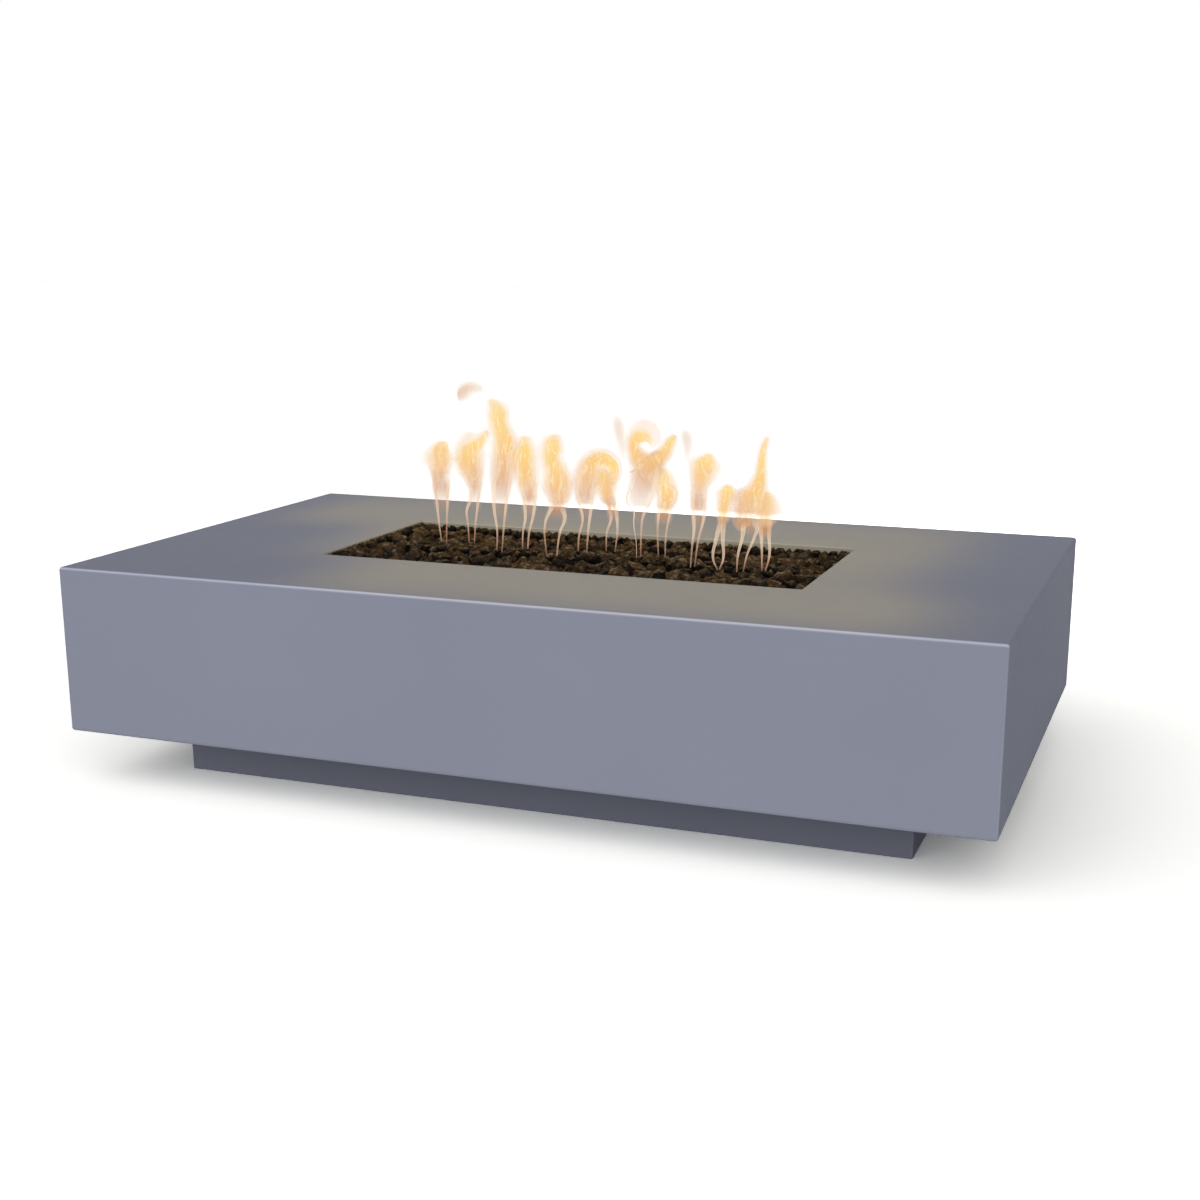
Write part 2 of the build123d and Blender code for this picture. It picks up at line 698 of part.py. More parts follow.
save(key_shaft, "key_shaft")

with BuildPart(valve_plane) as key_bar:
    with Locations((0, 0, boss_middle)):
        Cylinder(key_bar_radius, key_bar_length, rotation=(0, 90, 0))
    fillet(key_bar.edges().filter_by(GeomType.CIRCLE), key_bar_radius / 2)
save(key_bar, "key_bar")

# Bulkhead union through the slab's floor: tapped port below, spud above, with its locknut
with BuildPart(Plane.XY.offset(union_bottom_z)) as inlet_union:
    with BuildSketch(Plane.XY.offset(union_bottom_z)):
        with Locations((union_x, union_y)):
            RegularPolygon(union_port_flats / 2, 6, major_radius=False)
    extrude(amount=union_port_height)
    with BuildSketch(Plane.XY.offset(union_bottom_z + union_port_height)):
        with Locations((union_x, union_y)):
            RegularPolygon(union_flange_flats / 2, 6, major_radius=False)
    extrude(amount=union_flange_height)
    with Locations((union_x, union_y, 0)):
        Cylinder(union_radius, union_neck_z - union_bottom_z, align=stand_up)
        Cylinder(spud_radius, union_top_z - union_bottom_z, align=stand_up)
        Cylinder(bore_radius, union_top_z - union_bottom_z, align=stand_up, mode=Mode.SUBTRACT)
        Cylinder(union_port_radius, union_port_depth, align=stand_up, mode=Mode.SUBTRACT)
save(inlet_union, "inlet_union")

with BuildPart() as inlet_locknut:
    with BuildSketch(Plane.XY.offset(panel_top_z)):
        with Locations((union_x, union_y)):
            RegularPolygon(union_flange_flats / 2, 6, major_radius=False)
            Circle(union_radius, mode=Mode.SUBTRACT)
    extrude(amount=union_nut_height)
save(inlet_locknut, "inlet_locknut")

# Flexible gas lines: straight runs and tangent arcs, from spud to spud
elbow_out = (elbow_arm + spud_length, 0, elbow_z)
valve_out = (valve_x - valve_reach, valve_y, valve_z)
valve_in = (valve_x + valve_reach, valve_y, valve_z)
union_out = (union_x, union_y, union_top_z)
burner_route = [
    elbow_out,
    (elbow_out[0] + hose_lead, 0, elbow_z),
    (elbow_out[0] + hose_lead + hose_skew, valve_y, valve_z),
    valve_out,
]
inlet_route = [
    valve_in,
    (union_x, valve_y, valve_z),
    (union_x, union_y, valve_z),
    union_out,
]
for route, name in ((burner_route, "burner_hose"), (inlet_route, "inlet_hose")):
    radii = bend_radii(route, hose_bend)
    with BuildPart() as gas_hose:
        with BuildLine() as hose_line:
            FilletPolyline(*route, radius=radii)
        with BuildSketch(Plane(origin=route[0], z_dir=Vector(route[1]) - Vector(route[0]))):
            Circle(hose_diameter / 2)
            Circle(bore_radius, mode=Mode.SUBTRACT)
        sweep(path=hose_line.wire())
    wall_area = math.pi * ((hose_diameter / 2) ** 2 - bore_radius**2)
    hose_length = hose_line.wire().length
    ratio = gas_hose.part.volume / (wall_area * hose_length)
    bends = ", ".join(f"{r:.0f}" for r in radii)
    print(f"{name}: length {hose_length:.0f}, bends {bends}, volume ratio {ratio:.4f}")
    save(gas_hose, name)

# Nuts over the four meetings of spud and hose
nut_planes = (
    Plane(origin=elbow_out, z_dir=(1, 0, 0)),
    Plane(origin=valve_out, z_dir=(1, 0, 0)),
    Plane(origin=valve_in, z_dir=(1, 0, 0)),
    Plane(origin=union_out, z_dir=(0, 0, 1)),
)
with BuildPart() as hose_nuts:
    for nut_plane in nut_planes:
        with BuildSketch(nut_plane):
            RegularPolygon(hose_nut_flats / 2, 6, major_radius=False)
            Circle(spud_radius + hose_nut_fit, mode=Mode.SUBTRACT)
        extrude(amount=hose_nut_length / 2, both=True)
save(hose_nuts, "hose_nuts")

# Lava stones: chipped blocks that stand on the pan, and flat ones on the burner between the jets
chance = random.Random(stone_seed)
bed_length = pan_length - 2 * (pan_sheet + bed_side_room)
bed_depth = pan_depth - 2 * (pan_sheet + bed_side_room)
lane_width = 2 * (cap_radius + burner_lane_room)


def chipped_stone(x, y, foot_z, length, depth, height):
    """One stone: a block whose four upper corners are broken off on slanted faces."""
    half = Vector(length / 2, depth / 2, height)
    with BuildPart() as stone:
        with Locations((x, y, foot_z)):
            Box(length, depth, height, align=stand_up)
        for corner_x in (-1, 1):
            for corner_y in (-1, 1):
                lean = Vector(
                    corner_x * chance.uniform(0.5, 1.4) / half.X,
                    corner_y * chance.uniform(0.5, 1.4) / half.Y,
                    chance.uniform(0.9, 1.6) / half.Z,
                ).normalized()
                reach = abs(lean.X) * half.X + abs(lean.Y) * half.Y + lean.Z * half.Z
                keep_share = chance.uniform(stone_chip_least, stone_chip_most)
                cut_point = Vector(x, y, foot_z) + lean * reach * keep_share
                split(bisect_by=Plane(origin=cut_point, z_dir=lean), keep=Keep.BOTTOM)
    return stone.part


def stone_row(x_from, x_to, y, width, foot_z, low, high):
    """A row of stones between two ends, with uneven lengths and heights."""
    count = max(1, round((x_to - x_from) / stone_pitch))
    joints = [x_from + (x_to - x_from) * i / count for i in range(count + 1)]
    for i in range(1, count):
        joints[i] += chance.uniform(-0.2, 0.2) * stone_pitch
    row = []
    for left, right in zip(joints, joints[1:]):
        height = chance.uniform(low, high)
        length = right - left - stone_gap
        row.append(chipped_stone((left + right) / 2, y, foot_z, length, width - stone_gap, height))
    return row


stones = []
side_depth = (bed_depth - lane_width) / 2
side_rows = max(1, round(side_depth / stone_pitch))
row_width = side_depth / side_rows
for side in (-1, 1):
    for i in range(side_rows):
        row_y = side * (lane_width / 2 + (i + 0.5) * row_width)
        stones += stone_row(-bed_length / 2, bed_length / 2, row_y, row_width, pan_floor_z, stone_low, stone_high)

cap_tip = burner_length / 2 + cap_end + stone_gap
for side in (-1, 1):
    ends = sorted((side * cap_tip, side * bed_length / 2))
    stones += stone_row(ends[0], ends[1], 0, lane_width, pan_floor_z, stone_low, stone_high)

jet_room = jet_flats / math.sqrt(3) + stone_gap
jet_xs = [place[0] for place in jet_places]
cover_spans = [(left + jet_room, right - jet_room, burner_radius) for left, right in zip(jet_xs, jet_xs[1:])]
cover_spans.append((jet_xs[-1] + jet_room, cap_tip - stone_gap, cap_radius))
cover_spans.append((stone_gap - cap_tip, jet_xs[0] - jet_room, cap_radius))
for left, right, seat_radius in cover_spans:
    foot_z = burner_z + seat_radius + stone_seat
    height = pan_floor_z + chance.uniform(stone_low, stone_high) - foot_z
    stones.append(chipped_stone((left + right) / 2, 0, foot_z, right - left, lane_width - stone_gap, height))

with BuildPart() as lava_rocks:
    add(stones)
print(f"lava_rocks: {len(stones)} stones, jets: {len(jet_places)}")
save(lava_rocks, "lava_rocks")
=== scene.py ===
# %% [markdown]
# # Dressing a gas fire pit
# The pit is a low slab of folded sheet steel that floats on a recessed plinth. A long opening in its top
# is filled with lava rock, and a straight burner hides under the rock. All of these shapes come from CAD
# as a fixed frame, so nothing here moves or reshapes them. This lesson adds what CAD leaves out: the
# finishes, the small rocks, the light of a studio, and the flames.

# %% Load the CAD frame
import json
import math
import random

import bpy
from mathutils import Euler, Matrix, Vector


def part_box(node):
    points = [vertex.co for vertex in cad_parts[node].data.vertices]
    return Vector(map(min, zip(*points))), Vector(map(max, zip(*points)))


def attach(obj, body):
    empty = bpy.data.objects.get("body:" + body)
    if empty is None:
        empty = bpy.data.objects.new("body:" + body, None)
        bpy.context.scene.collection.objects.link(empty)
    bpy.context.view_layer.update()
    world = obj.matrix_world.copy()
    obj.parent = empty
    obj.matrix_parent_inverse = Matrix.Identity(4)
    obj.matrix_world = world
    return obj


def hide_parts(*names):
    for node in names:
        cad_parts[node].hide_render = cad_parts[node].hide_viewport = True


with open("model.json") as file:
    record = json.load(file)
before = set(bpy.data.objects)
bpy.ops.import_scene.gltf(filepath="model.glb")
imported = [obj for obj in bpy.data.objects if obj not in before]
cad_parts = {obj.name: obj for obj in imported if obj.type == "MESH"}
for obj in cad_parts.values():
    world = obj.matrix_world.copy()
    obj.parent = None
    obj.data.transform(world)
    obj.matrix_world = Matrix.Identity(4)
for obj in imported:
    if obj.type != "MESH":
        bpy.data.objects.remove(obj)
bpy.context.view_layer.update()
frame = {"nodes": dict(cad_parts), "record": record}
bpy.ops.object.select_all(action="DESELECT")
print("CAD nodes:", len(frame["nodes"]))

# %% [markdown]
# ## The camera
# Where a camera stands settles the perspective of a picture, and its lens only crops it. The place was
# found by fitting the corners of the slab, the plinth and the opening to the picture's lines. The lens is
# shifted a little, as on a view camera, because the pit stands below the middle of the picture. Moving
# the camera would do it too, but would change the lines.

# %% Set up the camera
CAMERA_PLACE = (1.1278, -2.8898, 0.9760)
CAMERA_ELEVATION = 14.278
CAMERA_AZIMUTH = 20.659
CAMERA_LENS = 50.19
SENSOR_WIDTH = 36
LENS_SHIFT = (-0.00887, 0.0538)

camera_turn = (math.radians(90 - CAMERA_ELEVATION), 0, math.radians(CAMERA_AZIMUTH))
bpy.ops.object.camera_add(location=CAMERA_PLACE, rotation=camera_turn)
camera = bpy.context.object
camera.name = "camera"
camera.data.lens = CAMERA_LENS
camera.data.sensor_width = SENSOR_WIDTH
camera.data.shift_x, camera.data.shift_y = LENS_SHIFT
bpy.context.scene.camera = camera
bpy.context.scene.view_settings.view_transform = "Standard"
print("camera", CAMERA_LENS, "mm,", CAMERA_ELEVATION, "degrees down")

# %% [markdown]
# ## Nodes for the finishes
# A real finish is never one flat colour. Powder coat has a faint orange peel, brass has grain, lava has
# pores. Such detail can be painted on an image or worked out by nodes. Nodes are used here, because they
# stay sharp at any distance and need no unwrapping. They read Object coordinates, which are metres on the
# part itself, so the scale of a noise is simply the number of blobs in a metre.

# %% Helpers for node materials
# Nearly all of a noise lies between these two values.
NOISE_LOW, NOISE_HIGH = 0.3, 0.7


def new_finish(name, roughness, metallic=0.0):
    """A new node material, with its tree, its shader and the Object coordinates."""
    material = bpy.data.materials.new(name)
    material.use_nodes = True
    tree = material.node_tree
    shader = tree.nodes["Principled BSDF"]
    shader.inputs["Roughness"].default_value = roughness
    shader.inputs["Metallic"].default_value = metallic
    place = tree.nodes.new("ShaderNodeTexCoord").outputs["Object"]
    return material, tree, shader, place


def stretched(tree, place, scale):
    """Coordinates scaled by a different number on each axis, for grain that runs one way."""
    mapping = tree.nodes.new("ShaderNodeMapping")
    mapping.inputs["Scale"].default_value = scale
    tree.links.new(place, mapping.inputs["Vector"])
    return mapping.outputs["Vector"]


def noise(tree, place, scale, detail=3.0, distortion=0.0):
    """A cloudy pattern from 0 to 1, with that many blobs in a metre."""
    node = tree.nodes.new("ShaderNodeTexNoise")
    node.inputs["Scale"].default_value = scale
    node.inputs["Detail"].default_value = detail
    node.inputs["Distortion"].default_value = distortion
    tree.links.new(place, node.inputs["Vector"])
    return node.outputs["Fac"]


def spread(tree, pattern, low, high, start=NOISE_LOW, end=NOISE_HIGH):
    """A pattern, or its part from start to end, stretched to run from low to high."""
    node = tree.nodes.new("ShaderNodeMapRange")
    node.inputs["From Min"].default_value = start
    node.inputs["From Max"].default_value = end
    node.inputs["To Min"].default_value = low
    node.inputs["To Max"].default_value = high
    tree.links.new(pattern, node.inputs["Value"])
    return node.outputs["Result"]


def colour_ramp(tree, pattern, stops):
    """Colours laid along a pattern. Each stop is a position and a colour."""
    node = tree.nodes.new("ShaderNodeValToRGB")
    elements = node.color_ramp.elements
    while len(elements) < len(stops):
        elements.new(0.5)
    for element, (position, colour) in zip(elements, stops):
        element.position = position
        element.color = (*colour, 1.0)
    tree.links.new(pattern, node.inputs["Fac"])
    return node.outputs["Color"]


def two_tone(tree, pattern, dark, light):
    """A noise that drifts between two colours."""
    return colour_ramp(tree, pattern, [(NOISE_LOW, dark), (NOISE_HIGH, light)])


def relief(tree, shader, height, depth, under=None):
    """A bump of that depth in metres, on top of another bump if one is given."""
    node = tree.nodes.new("ShaderNodeBump")
    node.inputs["Strength"].default_value = 1.0
    node.inputs["Distance"].default_value = depth
    tree.links.new(height, node.inputs["Height"])
    if under is not None:
        tree.links.new(under, node.inputs["Normal"])
    tree.links.new(node.outputs["Normal"], shader.inputs["Normal"])
    return node.outputs["Normal"]


def tint(colour, amount):
    """The same colour, lighter or darker."""
    return tuple(channel * amount for channel in colour)


finishes = {}
print("helpers ready")

# %% [markdown]
# ## Powder coat
# The slab and the plinth are sprayed with dry paint that is baked until it flows. It lies as an even matt
# skin with a faint orange peel, and the colour drifts by a few per cent where the spray was thicker.
# Three noises do that: a wide one for the colour, a closer one for the gloss, and a fine one for the peel.
# The folds that face up and to the front are painted paler, as a painted highlight such as a bevel catches
# from the light. Such edges could be painted by hand, but a fold can be found by its normal, which lies
# between two axes. On the lip of the fire opening the paint is tinted taupe, as painted firelight. The
# plinth's paint is darker than the slab's, as painted shade under the overhang.

# %% Arithmetic with nodes
def math_node(tree, operation, first, second):
    """One step of arithmetic. Second is a socket or a number."""
    node = tree.nodes.new("ShaderNodeMath")
    node.operation = operation
    tree.links.new(first, node.inputs[0])
    if isinstance(second, float):
        node.inputs[1].default_value = second
    else:
        tree.links.new(second, node.inputs[1])
    return node.outputs["Value"]


def blended(tree, factor, first, colour):
    """A colour socket that turns into a fixed colour where the factor is 1."""
    node = tree.nodes.new("ShaderNodeMix")
    node.data_type = "RGBA"
    tree.links.new(factor, node.inputs["Factor"])
    tree.links.new(first, node.inputs["A"])
    node.inputs["B"].default_value = (*colour, 1.0)
    return node.outputs["Result"]


def axes_of(tree, vector):
    """The X, Y and Z of a vector socket."""
    node = tree.nodes.new("ShaderNodeSeparateXYZ")
    tree.links.new(vector, node.inputs["Vector"])
    return node.outputs


print("arithmetic ready")

# %% Where the highlight and the firelight are painted
UPRIGHT_SHARE = 0.33
OPENING_HALF = (0.4572, 0.2032)
LIP_FADE = 0.003


def painted_highlight_folds(tree):
    """Painted highlight: 0 on flat sheet, 1 on a fold facing up and front, a third on an upright front fold.
    """
    normal = tree.nodes.new("ShaderNodeNewGeometry").outputs["Normal"]
    parts = axes_of(tree, normal)
    sizes = [math_node(tree, "MULTIPLY", parts[axis], parts[axis]) for axis in "XYZ"]
    largest = math_node(tree, "MAXIMUM", math_node(tree, "MAXIMUM", sizes[0], sizes[1]), sizes[2])
    fold = spread(tree, largest, 1.0, 0.0, start=0.6, end=0.98)
    front = spread(tree, parts["Y"], 1.0, 0.0, start=-0.5, end=0.0)
    upward = spread(tree, parts["Z"], UPRIGHT_SHARE, 1.0, start=0.1, end=0.4)
    return math_node(tree, "MULTIPLY", math_node(tree, "MULTIPLY", fold, front), upward)


def painted_firelight_lip(tree, place):
    """Painted firelight: 1 on the fire opening's lip, 0 on the top beside it."""
    parts = axes_of(tree, place)
    past = [math_node(tree, "SUBTRACT", math_node(tree, "ABSOLUTE", parts[axis], 0.0), half)
            for axis, half in zip("XY", OPENING_HALF)]
    return spread(tree, math_node(tree, "MAXIMUM", *past), 1.0, 0.0, start=0.0, end=LIP_FADE)


# The folds get the painted highlight, and the lip the painted firelight.
print("worn places: the folds, and a lip round", [2 * half for half in OPENING_HALF], "m")

# %% Powder coat
LAVENDER_GREY = (0.243, 0.255, 0.320)
# The lip's taupe is painted firelight.
LIP_PAINTED_FIRELIGHT = (0.25, 0.238, 0.215)
# The plinth is painted darker than the slab: painted shade under the overhang.
PLINTH_PAINTED_SHADE = 0.64
# How much paler the front folds are painted, as a painted highlight.
FOLD_PALER = 1.75
PAINT_ROUGHNESS = 0.65
PANEL_ROUGHNESS = 0.7
PAINT_SHINE = 0.02
COLOUR_BLOBS = 3.0
COLOUR_DRIFT = 0.02
GLOSS_BLOBS = 40.0
GLOSS_DRIFT = 0.04
PEEL_BLOBS = 520.0
PEEL_DEPTH = 0.00006


def powder_coat(name, colour, roughness, near_fire=False):
    """Baked matt paint with a faint orange peel and a painted highlight on the front folds.
    Near the fire the lip is tinted taupe, as painted firelight."""
    material, tree, shader, place = new_finish(name, roughness)
    shader.inputs["Specular IOR Level"].default_value = PAINT_SHINE
    shades = tint(colour, 1 - COLOUR_DRIFT), tint(colour, 1 + COLOUR_DRIFT)
    painted_highlight = tree.nodes.new("ShaderNodeHueSaturation")
    tree.links.new(two_tone(tree, noise(tree, place, COLOUR_BLOBS), *shades), painted_highlight.inputs["Color"])
    # The front folds are painted paler: a painted highlight.
    paler = spread(tree, painted_highlight_folds(tree), 1.0, FOLD_PALER, start=0.0, end=1.0)
    tree.links.new(paler, painted_highlight.inputs["Value"])
    coat = painted_highlight.outputs["Color"]
    if near_fire:
        # The lip is tinted taupe: painted firelight.
        coat = blended(tree, painted_firelight_lip(tree, place), coat, LIP_PAINTED_FIRELIGHT)
    tree.links.new(coat, shader.inputs["Base Color"])
    gloss = spread(tree, noise(tree, place, GLOSS_BLOBS), roughness - GLOSS_DRIFT, roughness + GLOSS_DRIFT)
    tree.links.new(gloss, shader.inputs["Roughness"])
    relief(tree, shader, noise(tree, place, PEEL_BLOBS, detail=2.0), PEEL_DEPTH)
    return material


# The plinth and the floor panel take this darker grey as painted shade.
painted_shade_grey = tint(LAVENDER_GREY, PLINTH_PAINTED_SHADE)
finishes["body_paint"] = powder_coat("body_paint", LAVENDER_GREY, PAINT_ROUGHNESS, near_fire=True)
finishes["plinth_paint"] = powder_coat("plinth_paint", painted_shade_grey, PAINT_ROUGHNESS)
finishes["floor_paint"] = powder_coat("floor_paint", painted_shade_grey, PANEL_ROUGHNESS)
print("paints:", len(finishes))

# %% [markdown]
# ## Bare and plated metal
# The burner, valve, hoses and bolts are metal, and each has marks of how it was made. Sheet stainless is
# brushed one way, brass is turned, zinc plate is mottled, and pipe is dull and scaled. One helper makes
# them all: a stretched noise is the grain, and it drives the roughness, the colour and a shallow bump
# together, as a real scratch does.

# %% Metals
GRAIN_SHADES = (0.82, 1.1)
GRAIN_GLOSS = (0.75, 1.3)
# Each metal is its colour, its roughness, the scratches in a metre along X, Y and Z, their depth in
# metres, and how far it is bare metal.
METALS = {
    "frame_paint": ((0.03, 0.03, 0.032), 0.6, (350, 350, 350), 0.00008, 0.0),
    "zinc_fastener": ((0.55, 0.55, 0.56), 0.36, (260, 260, 260), 0.00004, 1.0),
    "stainless": ((0.5, 0.49, 0.47), 0.34, (12, 900, 900), 0.00003, 1.0),
    "brass": ((0.62, 0.46, 0.2), 0.3, (400, 400, 400), 0.00003, 1.0),
    "black_pipe": ((0.05, 0.05, 0.052), 0.55, (300, 300, 90), 0.00008, 0.6),
    "gas_hose": ((0.48, 0.48, 0.47), 0.32, (420, 420, 420), 0.0002, 1.0),
    "ball_chrome": ((0.7, 0.7, 0.72), 0.08, (150, 150, 150), 0.000004, 1.0),
    "spring_steel": ((0.2, 0.2, 0.21), 0.35, (300, 300, 300), 0.00002, 1.0),
    "key_chrome": ((0.72, 0.72, 0.74), 0.12, (90, 90, 90), 0.000006, 1.0),
}


def worked_metal(name, colour, roughness, grain, depth, metallic):
    """Metal whose grain shows in its colour, its gloss and its relief."""
    material, tree, shader, place = new_finish(name, roughness, metallic)
    marks = noise(tree, stretched(tree, place, grain), 1.0, detail=4.0)
    shades = [tint(colour, shade) for shade in GRAIN_SHADES]
    tree.links.new(two_tone(tree, marks, *shades), shader.inputs["Base Color"])
    gloss = spread(tree, marks, *(roughness * share for share in GRAIN_GLOSS))
    tree.links.new(gloss, shader.inputs["Roughness"])
    relief(tree, shader, marks, depth)
    return material


for slot, row in METALS.items():
    finishes[slot] = worked_metal(slot, *row)
print("metals:", sorted(METALS))

# %% [markdown]
# ## The valve's plastic seats
# Inside the key valve the ball turns between two rings of waxy white plastic. Such plastic is not quite
# opaque: light sinks in a little. A touch of subsurface scattering gives that, over a barely uneven
# surface.

# %% Seat plastic
SEAT_SHADES = (0.8, 0.8, 0.78), (0.87, 0.87, 0.85)
SEAT_ROUGHNESS = 0.45
SEAT_MURK = 0.2
SEAT_MURK_DEPTH = 0.002
SEAT_BLOBS = 160.0
SEAT_RELIEF = 0.00002

material, tree, shader, place = new_finish("seat_plastic", SEAT_ROUGHNESS)
shader.inputs["Subsurface Weight"].default_value = SEAT_MURK
shader.inputs["Subsurface Radius"].default_value = (SEAT_MURK_DEPTH, SEAT_MURK_DEPTH, SEAT_MURK_DEPTH)
wax = noise(tree, place, SEAT_BLOBS)
tree.links.new(two_tone(tree, wax, *SEAT_SHADES), shader.inputs["Base Color"])
relief(tree, shader, wax, SEAT_RELIEF)
finishes["seat_plastic"] = material
print("seat plastic ready")

# %% [markdown]
# ## Lava stone
# Lava rock is cooled foam: dark brown and full of pores of every size. A wide noise makes patches, and two
# bumps at different scales give the lumps and the pores. The more a facet faces up, the paler it is, and its
# sides are dark: dust on the tops, and painted light from above. Each stone is darker towards its foot, low
# between the stones, which is painted shade, and some stones are darker than others. Both are written on the
# stones later as an attribute. Where a mesh has no such attribute it counts as zero: stone with no soot and
# no painted shade.

# %% Lava stone
STONE_DARK = (0.021, 0.0104, 0.0022)
STONE_BROWN = (0.034, 0.0218, 0.0102)
STONE_DUST = (0.104, 0.087, 0.073)
CLEAN_VALUE = 1.5
SOOT_AND_PAINTED_SHADE_VALUE = 0.14
# Facets facing up are painted paler and sides darker: dust, and painted light from above.
SIDE_VALUE = 0.2
TOP_VALUE = 1.5
STONE_ROUGHNESS = 0.92
STONE_SHINE = 0.15
STONE_PATCHES = 95.0
STONE_LUMPS = 110.0
LUMP_DEPTH = 0.006
STONE_PORES = 330.0
PORE_DEPTH = 0.003


def lava_stone(name):
    """Porous dark brown stone: paler on top from dust and painted light, darker at the foot as painted shade.
    """
    material, tree, shader, place = new_finish(name, STONE_ROUGHNESS)
    shader.inputs["Specular IOR Level"].default_value = STONE_SHINE
    stops = [(0.32, STONE_DARK), (0.52, STONE_BROWN), (0.72, STONE_DUST)]
    patches = colour_ramp(tree, noise(tree, place, STONE_PATCHES), stops)
    soot_and_painted_shade = tree.nodes.new("ShaderNodeAttribute")
    soot_and_painted_shade.attribute_name = "soot_and_painted_shade"
    normal = tree.nodes.new("ShaderNodeNewGeometry").outputs["Normal"]
    # Facets that face up are paler and sides darker: dust, and painted light from above.
    dust_and_painted_light = spread(tree, axes_of(tree, normal)["Z"], SIDE_VALUE, TOP_VALUE, start=0.1, end=0.9)
    # The attribute darkens random stones, and each stone towards its foot, where the darkening is painted
    # shade.
    soot_and_painted_shade_factor = spread(tree, soot_and_painted_shade.outputs["Fac"], CLEAN_VALUE, SOOT_AND_PAINTED_SHADE_VALUE, start=0.0, end=1.0)
    painted_light_and_dirt = tree.nodes.new("ShaderNodeHueSaturation")
    tree.links.new(patches, painted_light_and_dirt.inputs["Color"])
    tree.links.new(math_node(tree, "MULTIPLY", dust_and_painted_light, soot_and_painted_shade_factor), painted_light_and_dirt.inputs["Value"])
    tree.links.new(painted_light_and_dirt.outputs["Color"], shader.inputs["Base Color"])
    lumps = relief(tree, shader, noise(tree, place, STONE_LUMPS, detail=5.0), LUMP_DEPTH)
    pores = tree.nodes.new("ShaderNodeTexVoronoi")
    pores.inputs["Scale"].default_value = STONE_PORES
    tree.links.new(place, pores.inputs["Vector"])
    relief(tree, shader, pores.outputs["Distance"], PORE_DEPTH, under=lumps)
    return material


finishes["lava_stone"] = lava_stone("lava_stone")
print("finishes:", len(finishes))

# %% [markdown]
# ## Paint the CAD pieces
# The record of the part says which finish each piece takes. Going through that list keeps the looks and
# the record in step, and no piece can be forgotten.

# %% Give each CAD piece its finish
for part in frame["record"]["subparts"]:
    mesh = frame["nodes"][part["node"]].data
    mesh.materials.clear()
    mesh.materials.append(finishes[part["material_slot"]])

# %% [markdown]
# ## One stone, then a handful
# The CAD stones are large and lie in one layer. The real fill is a heap of stones as big as walnuts. A
# stone could be sculpted or scanned, but it will be copied hundreds of times, so it has to be light. Each
# shape starts as a rough ball. Its points are shaken, it is squashed, and chips are cut off with a plane,
# as a crusher breaks it. A decimate modifier then leaves it a few dozen faces, which are shaded smooth
# over blunt edges and stay sharp at the breaks. Seven shapes are enough, because every copy is turned
# another way.

# %% Model the stone shapes
STONE_SIZE = 0.03
STONE_SHAPES = 7
STONE_SHAKE = 0.1
STONE_DEPTHS = (0.8, 1.0)
STONE_HEIGHTS = (0.7, 0.9)
STONE_CHIPS = 4
CHIP_PLACES = (0.3, 0.42)
STONE_FACES_KEPT = 0.45
STONE_SOFT_ANGLE = 28


def chipped_stone(seed):
    """One broken stone about STONE_SIZE across, at the origin."""
    draw = random.Random(seed)
    bpy.ops.mesh.primitive_ico_sphere_add(subdivisions=2, radius=STONE_SIZE / 2, location=(0, 0, 0))
    stone = bpy.context.object
    stone.name = f"stone_shape_{seed}"
    bpy.ops.object.mode_set(mode="EDIT")
    bpy.ops.mesh.select_all(action="SELECT")
    bpy.ops.transform.vertex_random(offset=STONE_SIZE * STONE_SHAKE, uniform=0.8, normal=0.4, seed=seed)
    bpy.ops.transform.resize(value=(1.0, draw.uniform(*STONE_DEPTHS), draw.uniform(*STONE_HEIGHTS)))
    for _ in range(STONE_CHIPS):
        facing = Vector([draw.gauss(0, 1) for _ in range(3)]).normalized()
        cut = facing * STONE_SIZE * draw.uniform(*CHIP_PLACES)
        bpy.ops.mesh.select_all(action="SELECT")
        bpy.ops.mesh.bisect(plane_co=cut, plane_no=facing, use_fill=True, clear_outer=True)
    bpy.ops.mesh.select_all(action="SELECT")
    bpy.ops.mesh.quads_convert_to_tris()
    bpy.ops.mesh.normals_make_consistent(inside=False)
    bpy.ops.object.mode_set(mode="OBJECT")
    thin = stone.modifiers.new("fewer_faces", "DECIMATE")
    thin.ratio = STONE_FACES_KEPT
    bpy.ops.object.modifier_apply(modifier=thin.name)
    bpy.ops.object.shade_smooth_by_angle(angle=math.radians(STONE_SOFT_ANGLE))
    return stone


stone_shapes = [chipped_stone(seed) for seed in range(STONE_SHAPES)]
print("faces in each stone:", [len(stone.data.polygons) for stone in stone_shapes])

# %% [markdown]
# ## The heap of lava rock
# Stones could be dropped by a physics simulation, but that is slow and hard to repeat. Here they lie in
# three layers, each on a loose grid, with every stone nudged, turned and scaled by seeded chance. Each
# stone is measured after its turn, so that its crown stands exactly where the heap's surface is: level
# with the slab, and a little lower along the back, most of all on the right. Below that the stones
# overlap, which nobody sees. Rows of smaller stones close the gaps over the burner, from cap to cap, and
# along the back. A last row along the left lies on the pan's rim and touches the lip.

# %% The room for the stones
PAN_SHEET = 0.002
PAN_SIDE_ROOM = 0.002
BED_ROOM = 0.0003

pan_low, pan_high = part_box("burner_pan")
slab_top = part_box("top_shell")[1].z
bed_low = pan_low + Vector((1, 1, 1)) * (PAN_SHEET + BED_ROOM)
bed_high = pan_high - Vector((1, 1, 0)) * (PAN_SHEET + BED_ROOM)
lip_high = pan_high + Vector((1, 1, 0)) * (PAN_SIDE_ROOM - BED_ROOM)
print("room for the stones:", [round(side, 4) for side in bed_high - bed_low], "m")

# %% One stone of the heap
CROWN_ROOM = 0.0006
BACK_DIP_FROM = 0.12
BACK_DIP = 0.0015
BACK_DIP_RIGHT = 0.0025
